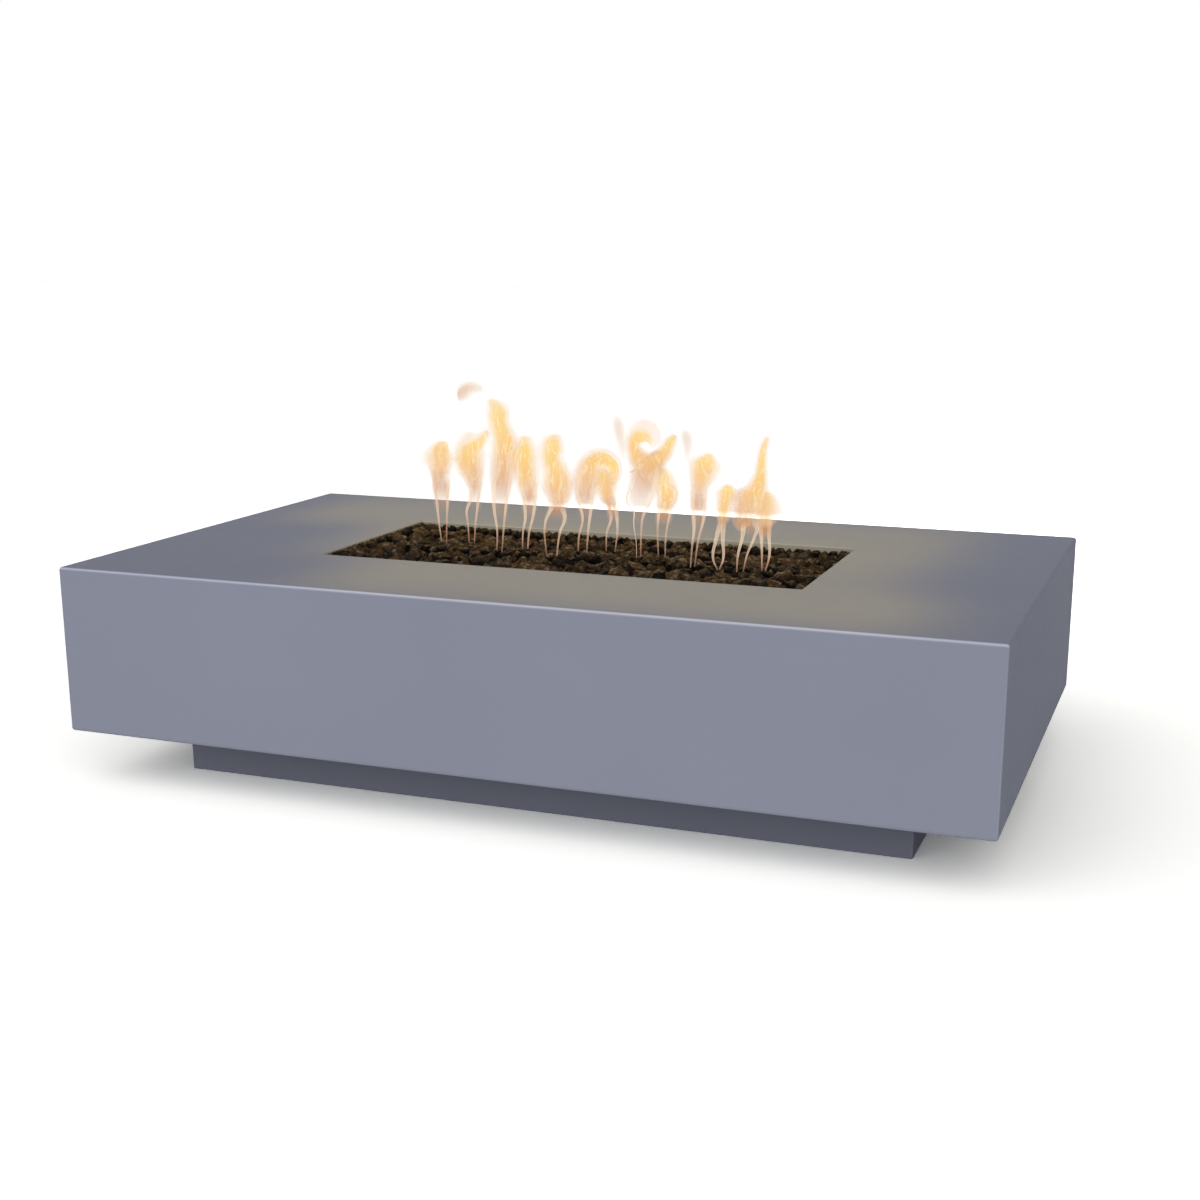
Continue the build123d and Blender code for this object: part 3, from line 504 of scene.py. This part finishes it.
# A stone's random darkness, and how much darker its foot is painted, as painted shade.
STONE_SOOT = (-0.15, 0.4)
FOOT_PAINTED_SHADE = 1.8


def heap_height(x, y):
    """How high the stones' crowns may stand.
    At the slab's top, but lower along the back, most of all on the right."""
    right = (x / bed_high.x + 1) / 2
    back = max(0.0, (y - BACK_DIP_FROM) / (bed_high.y - BACK_DIP_FROM))
    return slab_top - CROWN_ROOM - back * (BACK_DIP + BACK_DIP_RIGHT * right)


def lay_stone(draw, x, y, drop, size):
    """A copy of a shape, turned at random.
    Its crown is that far below the heap's top, or it stands on the pan."""
    shape = draw.choice(stone_shapes)
    turn = Euler([draw.uniform(0, 2 * math.pi) for _ in range(3)])
    stone = shape.copy()
    stone.data = shape.data.copy()
    heights = [size * (turn.to_matrix() @ point.co).z for point in shape.data.vertices]
    low, high = min(heights), max(heights)
    stone.location = (x, y, max(heap_height(x, y) - drop - high, bed_low.z - low))
    stone.rotation_euler = turn
    stone.scale = (size, size, size)
    bpy.context.collection.objects.link(stone)
    # Some stones are darker at random; each is darkened towards its foot, as painted shade between the
    # stones.
    dark = draw.uniform(*STONE_SOOT)
    soot_and_painted_shade = stone.data.attributes.new("soot_and_painted_shade", "FLOAT", "POINT")
    soot_and_painted_shade.data.foreach_set("value", [dark + FOOT_PAINTED_SHADE * (high - height) / (high - low) for height in heights])
    return stone


print("the heap's top:", round(heap_height(0, 0), 4),
      "m, at the rear right:", round(heap_height(*bed_high.xy), 4), "m")

# %% Lay the stones
# A layer is its depth below the heap's top, its pitch, and the range of its stones' sizes. A row is its
# number of steps and how far its stones may drop.
BOTTOM_LAYER = (0.03, 0.034, (1.1, 1.4))
LOWER_LAYER = (0.017, 0.026, (1.15, 1.45))
UPPER_LAYER = (0.0, 0.042, (1.2, 1.7))
CROWN_DROP = 0.018
LEVEL_EDGE = 0.07
NUDGE_X, NUDGE_Y = 0.3, 0.35
STAGGER = 0.25
LAYER_ROW_PITCH = 0.9
JET_ROW = (40, 0.004)
BACK_ROW = (52, 0.003)
RIM_ROW = (34, 0.001)
BURNER_ROW = (48, 0.008)
BURNER_ROW_GAP = 0.014
ROW_SIZES = (0.7, 0.95)
HEAP_SEED = 15


def stone_layer(draw, depth, pitch, sizes):
    """Stones on a loose grid with staggered rows, that far below the heap's top.
    At the left end none drops further."""
    rows = round(2 * bed_high.y / (pitch * LAYER_ROW_PITCH))
    columns = round(2 * bed_high.x / pitch)
    laid = []
    for row in range(rows + 1):
        shift = STAGGER if row % 2 else -STAGGER
        for column in range(columns + 1):
            x = bed_low.x + 2 * bed_high.x * (column + shift) / columns
            y = bed_low.y + 2 * bed_high.y * row / rows
            x += draw.uniform(-NUDGE_X, NUDGE_X) * pitch
            y += draw.uniform(-NUDGE_Y, NUDGE_Y) * pitch
            loose = min(1.0, max(0.0, (x - bed_low.x) / LEVEL_EDGE))
            drop = depth + draw.uniform(0.0, CROWN_DROP) * loose
            laid.append(lay_stone(draw, x, y, drop, draw.uniform(*sizes)))
    return laid


def stone_row(draw, start, end, steps, drop):
    """Smaller stones in a straight row between two points, to close gaps."""
    laid = []
    for number in range(steps + 1):
        x, y = (a + (b - a) * number / steps for a, b in zip(start, end))
        laid.append(lay_stone(draw, x, y, draw.uniform(0.0, drop), draw.uniform(*ROW_SIZES)))
    return laid


jets_low, jets_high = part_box("burner_jets")
jet_half = jets_high.y
burner_left, burner_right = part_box("burner_cap_left")[0].x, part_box("burner_cap_right")[1].x
chance = random.Random(HEAP_SEED)
stones = stone_layer(chance, *LOWER_LAYER) + stone_layer(chance, *UPPER_LAYER)
stones += stone_row(chance, (jets_low.x + jet_half, 0), (jets_high.x - jet_half, 0), *JET_ROW)
stones += stone_row(chance, (bed_low.x, bed_high.y), (bed_high.x, bed_high.y), *BACK_ROW)
rim_stones = stone_row(chance, (-lip_high.x, -bed_high.y), (-lip_high.x, bed_high.y), *RIM_ROW)
for y in (-BURNER_ROW_GAP, 0.0, BURNER_ROW_GAP):
    stones += stone_row(chance, (burner_left, y), (burner_right, y), *BURNER_ROW)
stones += stone_layer(chance, *BOTTOM_LAYER)
print("stones:", len(stones) + len(rim_stones))

# %% [markdown]
# ## Trimming the heap
# The outer stones were laid half through the pan's walls, because a stone that only touches a wall leaves
# a gap beside its round crown, and there the lip would show. Each of them is cut flush with a plane, and
# the cut is filled. This is done before the stones are joined, since the cuts of stones that overlap
# would be filled wrongly together. The row on the rim is cut at the lip instead.

# %% Trim the outer stones
TRIM_FROM = 0.04


def trim(laid, reach):
    """Cuts the stones that may stand out past a box of that half length and half depth."""
    bpy.ops.object.select_all(action="DESELECT")
    outer = []
    for stone in laid:
        if abs(stone.location.x) > reach.x - TRIM_FROM or abs(stone.location.y) > reach.y - TRIM_FROM:
            stone.select_set(True)
            outer.append(stone)
    bpy.context.view_layer.objects.active = outer[0]
    bpy.context.view_layer.update()
    bpy.ops.object.mode_set(mode="EDIT")
    for facing in (Vector((1, 0, 0)), Vector((-1, 0, 0)), Vector((0, 1, 0)), Vector((0, -1, 0))):
        bpy.ops.mesh.select_all(action="SELECT")
        bpy.ops.mesh.bisect(plane_co=facing * reach, plane_no=facing, use_fill=True, clear_outer=True)
    bpy.ops.object.mode_set(mode="OBJECT")
    print("trimmed stones:", len(outer))


# The shapes have been copied and are not needed any more.
for shape in stone_shapes:
    bpy.data.objects.remove(shape)
trim(stones, bed_high)
trim(rim_stones, lip_high)
stones += rim_stones

# %% [markdown]
# ## One piece of stones
# Every stone could stay an object of its own, but the part knows its stones as one node. So they are
# joined, and the joined heap rides on the pit's body and takes the place of the CAD stones.

# %% Join the stones into one piece
def joined(pieces, name, material):
    """One object made of several, with one finish."""
    bpy.ops.object.select_all(action="DESELECT")
    for piece in pieces:
        piece.select_set(True)
    bpy.context.view_layer.objects.active = pieces[0]
    bpy.ops.object.join()
    whole = bpy.context.object
    whole.name = name
    whole.data.materials.clear()
    whole.data.materials.append(material)
    return whole


lava_bed = joined(stones, "lava_bed", finishes["lava_stone"])
bpy.ops.object.transform_apply(location=True, rotation=True, scale=True)
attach(lava_bed, "pit")
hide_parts("lava_rocks")
bpy.ops.object.select_all(action="DESELECT")
print("lava bed:", len(lava_bed.data.polygons), "faces")

# %% [markdown]
# ## A white studio
# The pit stands in a studio that is white all round. A white room could be had by flooding it with light,
# but that would bleach the paint. Instead the floor and the sky are only seen as white: a Light Path node
# tells whether a ray comes from the camera or a reflection, and only those rays get the white. All other
# rays meet a soft sky that is brighter in front, a little to the left, than behind, like a wall of soft
# boxes. So the front is the lightest face, the top and the ends are darker, and the floor goes dark under
# the overhang.

# %% Sky
WHITE = (1.0, 1.0, 1.0, 1.0)
SKY_LEVEL = 0.2
SKY_FRONT = 2.05
SKY_FROM = (-0.06, -0.998, 0.0)


def seen_rays(tree):
    """1 for rays from the camera, a reflection or glass, else 0."""
    path = tree.nodes.new("ShaderNodeLightPath")
    total = path.outputs["Is Camera Ray"]
    for kind in ("Is Glossy Ray", "Is Transmission Ray"):
        total = math_node(tree, "MAXIMUM", total, path.outputs[kind])
    return total


def mixed(tree, factor, first, second):
    """Two shaders, with the second where the factor is 1."""
    node = tree.nodes.new("ShaderNodeMixShader")
    tree.links.new(factor, node.inputs["Fac"])
    tree.links.new(first, node.inputs[1])
    tree.links.new(second, node.inputs[2])
    return node.outputs["Shader"]


world = bpy.data.worlds.new("studio")
bpy.context.scene.world = world
world.use_nodes = True
tree = world.node_tree
soft_sky = tree.nodes["Background"]
soft_sky.inputs["Color"].default_value = WHITE
toward = tree.nodes.new("ShaderNodeVectorMath")
toward.operation = "DOT_PRODUCT"
tree.links.new(tree.nodes.new("ShaderNodeTexCoord").outputs["Generated"], toward.inputs[0])
toward.inputs[1].default_value = SKY_FROM
sky_strength = spread(tree, toward.outputs["Value"], SKY_LEVEL, SKY_LEVEL + SKY_FRONT, start=0.0, end=1.0)
tree.links.new(sky_strength, soft_sky.inputs["Strength"])
white_sky = tree.nodes.new("ShaderNodeBackground")
white_sky.inputs["Color"].default_value = WHITE
sky = mixed(tree, seen_rays(tree), soft_sky.outputs["Background"], white_sky.outputs["Background"])
tree.links.new(sky, tree.nodes["World Output"].inputs["Surface"])
print("sky from", SKY_LEVEL, "behind to", SKY_LEVEL + SKY_FRONT, "in front")

# %% Floor
FLOOR_SIZE = 60.0
FLOOR_COLOUR = (0.62, 0.62, 0.62, 1.0)
FLOOR_SEEN = (1.68, 1.68, 1.63, 1.0)

bpy.ops.mesh.primitive_plane_add(size=FLOOR_SIZE, location=(0, 0, 0))
floor = bpy.context.object
floor.name = "floor"
paper = bpy.data.materials.new("floor_paper")
paper.use_nodes = True
tree = paper.node_tree
tree.nodes.remove(tree.nodes["Principled BSDF"])
plain = tree.nodes.new("ShaderNodeBsdfDiffuse")
plain.inputs["Color"].default_value = FLOOR_COLOUR
bright = tree.nodes.new("ShaderNodeBsdfDiffuse")
bright.inputs["Color"].default_value = FLOOR_SEEN
paper_shader = mixed(tree, seen_rays(tree), plain.outputs["BSDF"], bright.outputs["BSDF"])
tree.links.new(paper_shader, tree.nodes["Material Output"].inputs["Surface"])
floor.data.materials.append(paper)
print("floor", FLOOR_SIZE, "m")

# %% [markdown]
# ## A soft box behind
# That sky leaves the rear wall, where the valve is, in the dark. A low soft box behind the pit lights it.
# It stands no higher than a person's waist, so it only grazes the top and the picture from the front
# stays as it is.

# %% Rear soft box
REAR_BOX_PLACE = (0.0, 3.0, 0.6)
REAR_BOX_SIZE = (2.4, 1.0)
REAR_BOX_POWER = 26

bpy.ops.object.light_add(type="AREA", location=REAR_BOX_PLACE, rotation=(math.radians(-90), 0, 0))
rear_box = bpy.context.object
rear_box.name = "rear_soft_box"
rear_box.data.shape = "RECTANGLE"
rear_box.data.size, rear_box.data.size_y = REAR_BOX_SIZE
rear_box.data.energy = REAR_BOX_POWER
rear_box.visible_camera = False
rear_box.visible_glossy = False
print("rear soft box", REAR_BOX_POWER, "W")

# %% [markdown]
# ## Firelight
# The fire tints the top around the opening a warm taupe, evenly from the front edge to the back. The tint
# ends softly, further out at the back left than at the front left. A flame mesh that lights its
# surroundings by itself is slow and grainy, and a spot lamp makes a round pool. So three wide flat lamps
# hang side by side over the fire, one for each third of the depth. Their spread is narrow, so that each
# lights what lies below it and fades out beside it. The floor is left out of their light, because the
# slab would shade it from the real fire. The opening's upright lip gets nothing from above, so a row of
# weak lamps stands a little behind the flames.

# %% Firelight
FIRE_COLOUR = (1.0, 0.7, 0.02)
POOL_HEIGHT = 1.4
POOL_SPREAD = 16
# Each strip is where it lies, left to right and front to back, and how bright it is.
POOL_STRIPS = (
    ((-0.36, 0.7), (-0.48, -0.2), 0.42),
    ((-0.5, 0.62), (-0.2, 0.12), 0.34),
    ((-0.75, 0.64), (0.12, 0.48), 0.37),
)
LIP_LAMPS = (-0.36, -0.18, 0.0, 0.18, 0.36)
LIP_LAMP_BACK = 0.08
LIP_LAMP_RISE = 0.15
LIP_LAMP_SIZE = 0.05
LIP_LAMP_POWER = 0.2

all_but_floor = bpy.data.collections.new("all_but_floor")
all_but_floor.objects.link(floor)
all_but_floor.collection_objects[0].light_linking.link_state = "EXCLUDE"


def fire_lamp(kind, name, place, size, power):
    """A warm lamp that is not seen or mirrored, and does not light the floor."""
    bpy.ops.object.light_add(type=kind, radius=size, location=place, rotation=(0, 0, 0))
    lamp = bpy.context.object
    lamp.name = name
    lamp.data.color = FIRE_COLOUR
    lamp.data.energy = power
    lamp.visible_camera = False
    lamp.visible_glossy = False
    lamp.light_linking.receiver_collection = all_but_floor
    return lamp


for number, ((left, right), (front, back), level) in enumerate(POOL_STRIPS):
    place = ((left + right) / 2, (front + back) / 2, POOL_HEIGHT)
    length, depth = right - left, back - front
    power = math.pi * level * length * depth
    pool = fire_lamp("AREA", f"fire_pool_{number}", place, length, power)
    pool.data.shape = "RECTANGLE"
    pool.data.size, pool.data.size_y = length, depth
    pool.data.spread = math.radians(POOL_SPREAD)
for number, x in enumerate(LIP_LAMPS):
    place = (x, LIP_LAMP_BACK, slab_top + LIP_LAMP_RISE)
    fire_lamp("POINT", f"lip_lamp_{number}", place, LIP_LAMP_SIZE, LIP_LAMP_POWER)
print("fire lamps:", len(POOL_STRIPS) + len(LIP_LAMPS))

# %% [markdown]
# ## Shaping a flame
# Over each jet of the burner stands a flame on two thin legs, which meet in a belly and close in a dome
# or a curl. A flame is gas, not a piece of the pit, so it belongs to the stage like the floor. Each limb
# is a curve with a thickness at every point, swept into half a tube. Half is enough, because burning gas
# is a thin sheet, and a limb of one sheet keeps the layers that a ray must cross few. A sheet that is
# seen from its edge would vanish, so all of them are turned to the camera. A curve turned into a mesh
# brings its own UV map: U runs along the limb and V across it.

# %% The flames, in millimetres
# A flame is its depth along Y, its legs and its heads. A leg's point is x and height above the slab. A
# head's point has a half width too.
FLAMES = (
    (25,
     [((-325, -10), (-330, 30), (-334, 75), (-338, 125), (-333, 150)),
      ((-315, -10), (-313, 40), (-310, 85), (-307, 130), (-310, 150))],
     [((-326, 126, 9), (-325, 144, 15), (-325, 160, 21), (-321, 175, 15), (-311, 186, 5))]),
    (40,
     [((-273, -8), (-275, 30), (-277, 55), (-268, 80), (-268, 110), (-274, 130)),
      ((-262, -8), (-258, 35), (-252, 75), (-247, 120), (-244, 165))],
     [((-262, 122, 12), (-270, 155, 20), (-265, 178, 19), (-246, 192, 9), (-230, 212, 3))]),
    (-20,
     [((-187, -10), (-185, 30), (-190, 68), (-191, 110), (-184, 158)),
      ((-176, -10), (-171, 40), (-165, 86), (-155, 135), (-152, 187))],
     [((-174, 130, 14), (-166, 170, 18), (-168, 200, 17), (-178, 232, 14), (-183, 260, 15), (-196, 278, 5))]),
    (0,
     [((-142, -8), (-140, 30), (-135, 57), (-139, 100), (-145, 146)),
      ((-131, -12), (-128, 25), (-118, 65), (-114, 110), (-121, 147))],
     [((-130, 118, 12), (-134, 150, 16), (-134, 180, 16), (-133, 207, 8))]),
    (-20,
     [((-84, -8), (-86, 50), (-76, 75), (-66, 90)),
      ((-64, -18), (-56, 35), (-46, 65), (-53, 85))],
     [((-60, 88, 10), (-59, 120, 20), (-64, 148, 17), (-73, 175, 14), (-70, 195, 16), (-60, 214, 7))]),
    (20,
     [((-35, -10), (-34, 20), (-26, 60), (-36, 95), (-37, 122), (-20, 155)),
      ((-18, -8), (-14, 40), (-7, 89), (0, 140))],
     [((-20, 112, 13), (-14, 142, 17), (0, 162, 15), (16, 162, 15), (28, 148, 13), (31, 126, 6))]),
    (50,
     [((10, -8), (12, 30), (20, 56), (13, 85), (6, 110)),
      ((28, -8), (33, 35), (30, 70), (20, 105))],
     [((12, 100, 10), (8, 125, 15), (4, 148, 8))]),
    (0,
     [((90, -10), (90, 20), (85, 60), (86, 80), (72, 101), (80, 122), (92, 142)),
      ((98, -8), (99, 45), (102, 72), (117, 101), (124, 125), (118, 150))],
     [((106, 140, 17), (105, 166, 19), (90, 184, 11), (83, 204, 8),
       (90, 220, 11), (106, 225, 13), (119, 216, 8), (121, 203, 4)),
      ((114, 158, 12), (128, 173, 11), (145, 192, 8), (155, 210, 7), (163, 222, 3))]),
    (20,
     [((126, -8), (124, 50), (126, 80), (123, 130), (122, 160)),
      ((139, -8), (141, 40), (150, 85), (160, 118), (142, 133), (128, 150))],
     [((138, 84, 8), (143, 108, 13), (138, 134, 13), (130, 156, 8))]),
    (-30,
     [((205, -12), (208, 30), (211, 60), (208, 110), (211, 150)),
      ((213, -10), (219, 38), (230, 87), (231, 118), (226, 153))],
     [((221, 136, 9), (228, 162, 18), (233, 176, 19), (238, 192, 8))]),
    (-40,
     [((260, -11), (251, 10), (256, 45), (267, 85)),
      ((263, -10), (270, 10), (269, 45), (269, 85))],
     [((269, 84, 6), (272, 110, 9), (276, 128, 13), (276, 142, 6))]),
    (-45,
     [((297, -11), (299, 20), (307, 55), (309, 82)),
      ((309, -10), (316, 22), (329, 55), (333, 72), (322, 85))],
     [((311, 84, 12), (319, 110, 21), (331, 134, 14), (338, 162, 8),
       (340, 190, 5), (343, 214, 4), (350, 232, 2))]),
    (-30,
     [((340, -8), (338, 45), (334, 86)),
      ((346, -9), (353, 20), (351, 65), (353, 96))],
     [((343, 82, 11), (345, 108, 18), (348, 128, 9))]),
)
# Wisps of gas that have broken off: the depth, and points like a head's.
WISPS = (
    (-20, ((-205, 292, 5), (-222, 298, 10), (-240, 290, 15), (-252, 280, 10))),
    (-18, ((-214, 296, 4), (-230, 294, 10), (-246, 284, 12), (-256, 276, 6))),
    (0, ((64, 176, 3), (60, 204, 7), (54, 234, 9), (50, 252, 6))),
    (20, ((180, 182, 4), (181, 206, 8), (176, 228, 7))),
)
print("flames:", len(FLAMES), "wisps:", len(WISPS))

# %% Sweep the legs
# Half a leg's width at its foot and at its hip, and how late it swells.
LEG_HALF = (1.0, 5.0)
LEG_SWELL = 1.2
SHEET_STEPS = 4


def gas_sheet(points, depth):
    """Half a tube on a smooth curve, turned to the camera.
    Its points are x, height above the slab and half width."""
    bpy.ops.curve.primitive_bezier_curve_add(location=(0, 0, 0))
    path = bpy.context.object
    path.data.bevel_depth = 1.0
    path.data.bevel_resolution = SHEET_STEPS
    path.data.fill_mode = "HALF"
    spline = path.data.splines[0]
    spline.radius_interpolation = "CARDINAL"
    spline.bezier_points.add(len(points) - 2)
    for knot, (x, height, half) in zip(spline.bezier_points, points):
        knot.co = (x / 1000, depth / 1000, slab_top + height / 1000)
        knot.handle_left_type = knot.handle_right_type = "AUTO"
        knot.radius = half / 1000
        knot.tilt = math.radians(CAMERA_AZIMUTH)
    bpy.ops.object.convert(target="MESH")
    bpy.ops.object.shade_smooth()
    return bpy.context.object


def leg_points(leg):
    """A leg's points, thin at the foot and thick at the hip."""
    thin, thick = LEG_HALF
    last = len(leg) - 1
    widths = [thin + (thick - thin) * (number / last) ** LEG_SWELL for number in range(last + 1)]
    return [(x, height, half) for (x, height), half in zip(leg, widths)]


leg_sheets = [gas_sheet(leg_points(leg), depth) for depth, legs, heads in FLAMES for leg in legs]
print("legs:", len(leg_sheets))

# %% Sweep the heads and the wisps
# How much wider a sheet is than the bright gas in it: a factor and millimetres. How far it runs on at its
# start and its end: half widths, and a factor on the last one.
HEAD_WIDER = (1.3, 2)
HEAD_START = (1.6, 0.8)
HEAD_END = (1.0, 0.2)


def beyond(inner, outer, reach, thinner):
    """A point past the outer one, as far as reach half widths, and that much thinner."""
    step = reach * outer[2] / math.hypot(outer[0] - inner[0], outer[1] - inner[1])
    x = outer[0] + (outer[0] - inner[0]) * step
    height = outer[1] + (outer[1] - inner[1]) * step
    return x, height, outer[2] * thinner


def head_points(head, times, plus):
    """A head's points, with one more at each end where the gas fades out, and made wider."""
    longer = [beyond(head[1], head[0], *HEAD_START), *head, beyond(head[-2], head[-1], *HEAD_END)]
    return [(x, height, half * times + plus) for x, height, half in longer]


head_sheets = [gas_sheet(head_points(head, *HEAD_WIDER), depth)
               for depth, legs, heads in FLAMES for head in heads]
wisp_sheets = [gas_sheet(head_points(wisp, *HEAD_WIDER), depth) for depth, wisp in WISPS]
print("heads:", len(head_sheets), "wisps:", len(wisp_sheets))

# %% Sweep the bellies and the halos
# The belly starts at a height above the slab and is a little wider than the gap between the legs.
HALO_WIDER = (1.6, 5)
BELLY_FOOT = 50
BELLY_WIDER = 6
BELLY_POINTS = 3


def leg_at(leg, height):
    """A leg's x at a height."""
    for (x, low), (next_x, high) in zip(leg, leg[1:]):
        if height <= high:
            return x + (next_x - x) * (height - low) / (high - low)
    return leg[-1][0]


def belly_points(legs, top):
    """Points halfway between two legs, up to the height where the head starts."""
    points = []
    for number in range(BELLY_POINTS):
        height = BELLY_FOOT + (top - BELLY_FOOT) * number / BELLY_POINTS
        left, right = (leg_at(leg, height) for leg in legs)
        points.append(((left + right) / 2, height, abs(right - left) / 2 + BELLY_WIDER))
    return points


halo_sheets = []
for depth, legs, heads in FLAMES:
    first, *others = [head_points(head, *HALO_WIDER) for head in heads]
    head_start = heads[0][0][1]
    halo_sheets.append(gas_sheet(belly_points(legs, head_start) + first[1:], depth))
    halo_sheets += [gas_sheet(other, depth) for other in others]
print("halos:", len(halo_sheets))

# %% [markdown]
# ## The look of fire
# A flame glows and lets the background through. So its shader mixes clear with glowing: the mix says how
# dense the gas is. Legs are brown at the foot and cream at the hip. Heads are yellow and dense in the
# middle, and fade out softly at their outline, at their start between the legs and at their tip. Thin
# bright threads run through them: where a stretched noise passes through its middle value. A wider,
# fainter sheet is the tan belly between the legs and the halo round the head.

# %% Tables for the gas
# Each table lists what lies where: colours and densities along a limb, from foot to tip, and across it,
# from the middle to the rim.
LEG_GAS = {
    "colours": [(0.0, (0.34, 0.12, 0.05)), (0.15, (0.58, 0.26, 0.14)),
                (0.4, (0.9, 0.62, 0.44)), (1.0, (1.0, 0.8, 0.58))],
    "rim_colour": (1.0, 0.86, 0.68),
    "rim": [(0.3, 0.0), (0.7, 0.6), (1.0, 0.4)],
    "along": [(0.0, 0.6), (0.1, 0.9), (0.5, 0.9), (0.8, 0.7), (1.0, 0.0)],
    "across": [(0.0, 0.75), (0.35, 0.75), (0.6, 0.9), (0.8, 0.5), (1.0, 0.0)],
    "threads": 0.3,
}
HEAD_GAS = {
    "colours": [(0.0, (0.88, 0.46, 0.24)), (0.3, (0.95, 0.56, 0.18)),
                (0.7, (1.0, 0.68, 0.18)), (1.0, (0.94, 0.58, 0.32))],
    "rim_colour": (1.0, 0.84, 0.6),
    "rim": [(0.36, 0.0), (0.5, 0.6), (0.64, 0.2), (1.0, 0.0)],
    "along": [(0.0, 0.0), (0.14, 0.35), (0.32, 0.9), (0.65, 1.0), (0.8, 0.7), (0.92, 0.25), (1.0, 0.0)],
    "across": [(0.0, 1.0), (0.2, 0.95), (0.34, 0.8), (0.5, 0.52), (0.65, 0.25), (0.8, 0.08), (1.0, 0.0)],
    "threads": 0.7,
}
HALO_GAS = {
    "colours": [(0.0, (0.68, 0.38, 0.2)), (0.3, (0.64, 0.3, 0.12)),
                (0.5, (0.86, 0.5, 0.24)), (1.0, (0.86, 0.52, 0.36))],
    "rim_colour": (0.88, 0.64, 0.52),
    "rim": [(0.3, 0.0), (1.0, 1.0)],
    "along": [(0.0, 0.0), (0.12, 0.4), (0.26, 0.95), (0.42, 0.95), (0.6, 0.55), (0.85, 0.4), (1.0, 0.0)],
    "across": [(0.0, 0.85), (0.33, 0.78), (0.5, 0.58), (0.65, 0.36), (0.8, 0.15), (1.0, 0.0)],
    "threads": 0.2,
}
WISP_GAS = {
    "colours": [(0.0, (0.78, 0.54, 0.42)), (0.5, (0.74, 0.44, 0.25)), (1.0, (0.75, 0.48, 0.36))],
    "rim_colour": (0.78, 0.6, 0.54),
    "rim": [(0.3, 0.0), (1.0, 1.0)],
    "along": [(0.0, 0.0), (0.35, 0.5), (0.65, 0.8), (1.0, 0.0)],
    "across": [(0.0, 0.75), (0.2, 0.66), (0.35, 0.5), (0.5, 0.3), (0.65, 0.14), (0.8, 0.04), (1.0, 0.0)],
    "threads": 0.2,
}
print("stops along a leg, a head, a halo and a wisp:",
      [len(table["along"]) for table in (LEG_GAS, HEAD_GAS, HALO_GAS, WISP_GAS)])

# %% Fire shader
THREAD_COLOUR = (1.0, 0.88, 0.62)
THREAD_BAND = [(0.46, 0.0), (0.5, 1.0), (0.54, 0.0)]
SWIRLS = (65, 65, 12)
SWIRL_THIN = 0.8


def number_ramp(tree, pattern, stops):
    """Numbers laid along a pattern."""
    return colour_ramp(tree, pattern, [(position, (number, number, number)) for position, number in stops])


def burning_gas(name, table):
    """Glowing gas, clear where thin."""
    material = bpy.data.materials.new(name)
    material.use_nodes = True
    material.cycles.emission_sampling = "NONE"
    tree = material.node_tree
    tree.nodes.remove(tree.nodes["Principled BSDF"])
    coordinates = tree.nodes.new("ShaderNodeTexCoord").outputs
    limb = axes_of(tree, coordinates["UV"])
    along = limb["X"]
    across = math_node(tree, "ABSOLUTE", spread(tree, limb["Y"], -1.0, 1.0, start=0.0, end=1.0), 0.0)
    swirl = noise(tree, stretched(tree, coordinates["Object"], SWIRLS), 1.0, distortion=1.0)
    threads = math_node(tree, "MULTIPLY", number_ramp(tree, swirl, THREAD_BAND), table["threads"])
    colour = colour_ramp(tree, along, table["colours"])
    colour = blended(tree, number_ramp(tree, across, table["rim"]), colour, table["rim_colour"])
    colour = blended(tree, threads, colour, THREAD_COLOUR)
    glow = tree.nodes.new("ShaderNodeEmission")
    tree.links.new(colour, glow.inputs["Color"])
    density = number_ramp(tree, along, table["along"])
    density = math_node(tree, "MULTIPLY", density, number_ramp(tree, across, table["across"]))
    density = math_node(tree, "MULTIPLY", density, spread(tree, swirl, SWIRL_THIN, 1.0))
    clear = tree.nodes.new("ShaderNodeBsdfTransparent")
    gas = mixed(tree, density, clear.outputs["BSDF"], glow.outputs["Emission"])
    tree.links.new(gas, tree.nodes["Material Output"].inputs["Surface"])
    return material


def stage_gas(sheets, name, material):
    """Joins the sheets into one object of the stage that lights nothing by itself."""
    gas = joined(sheets, name, material)
    gas.visible_diffuse = False
    gas.visible_glossy = False
    gas.visible_shadow = False


stage_gas(leg_sheets, "flame_legs", burning_gas("leg_fire", LEG_GAS))
stage_gas(head_sheets, "flame_heads", burning_gas("head_fire", HEAD_GAS))
stage_gas(halo_sheets, "flame_halo", burning_gas("halo_fire", HALO_GAS))
stage_gas(wisp_sheets, "flame_wisps", burning_gas("wisp_fire", WISP_GAS))
print("fire on stage, from", len(leg_sheets + head_sheets + halo_sheets + wisp_sheets), "sheets")
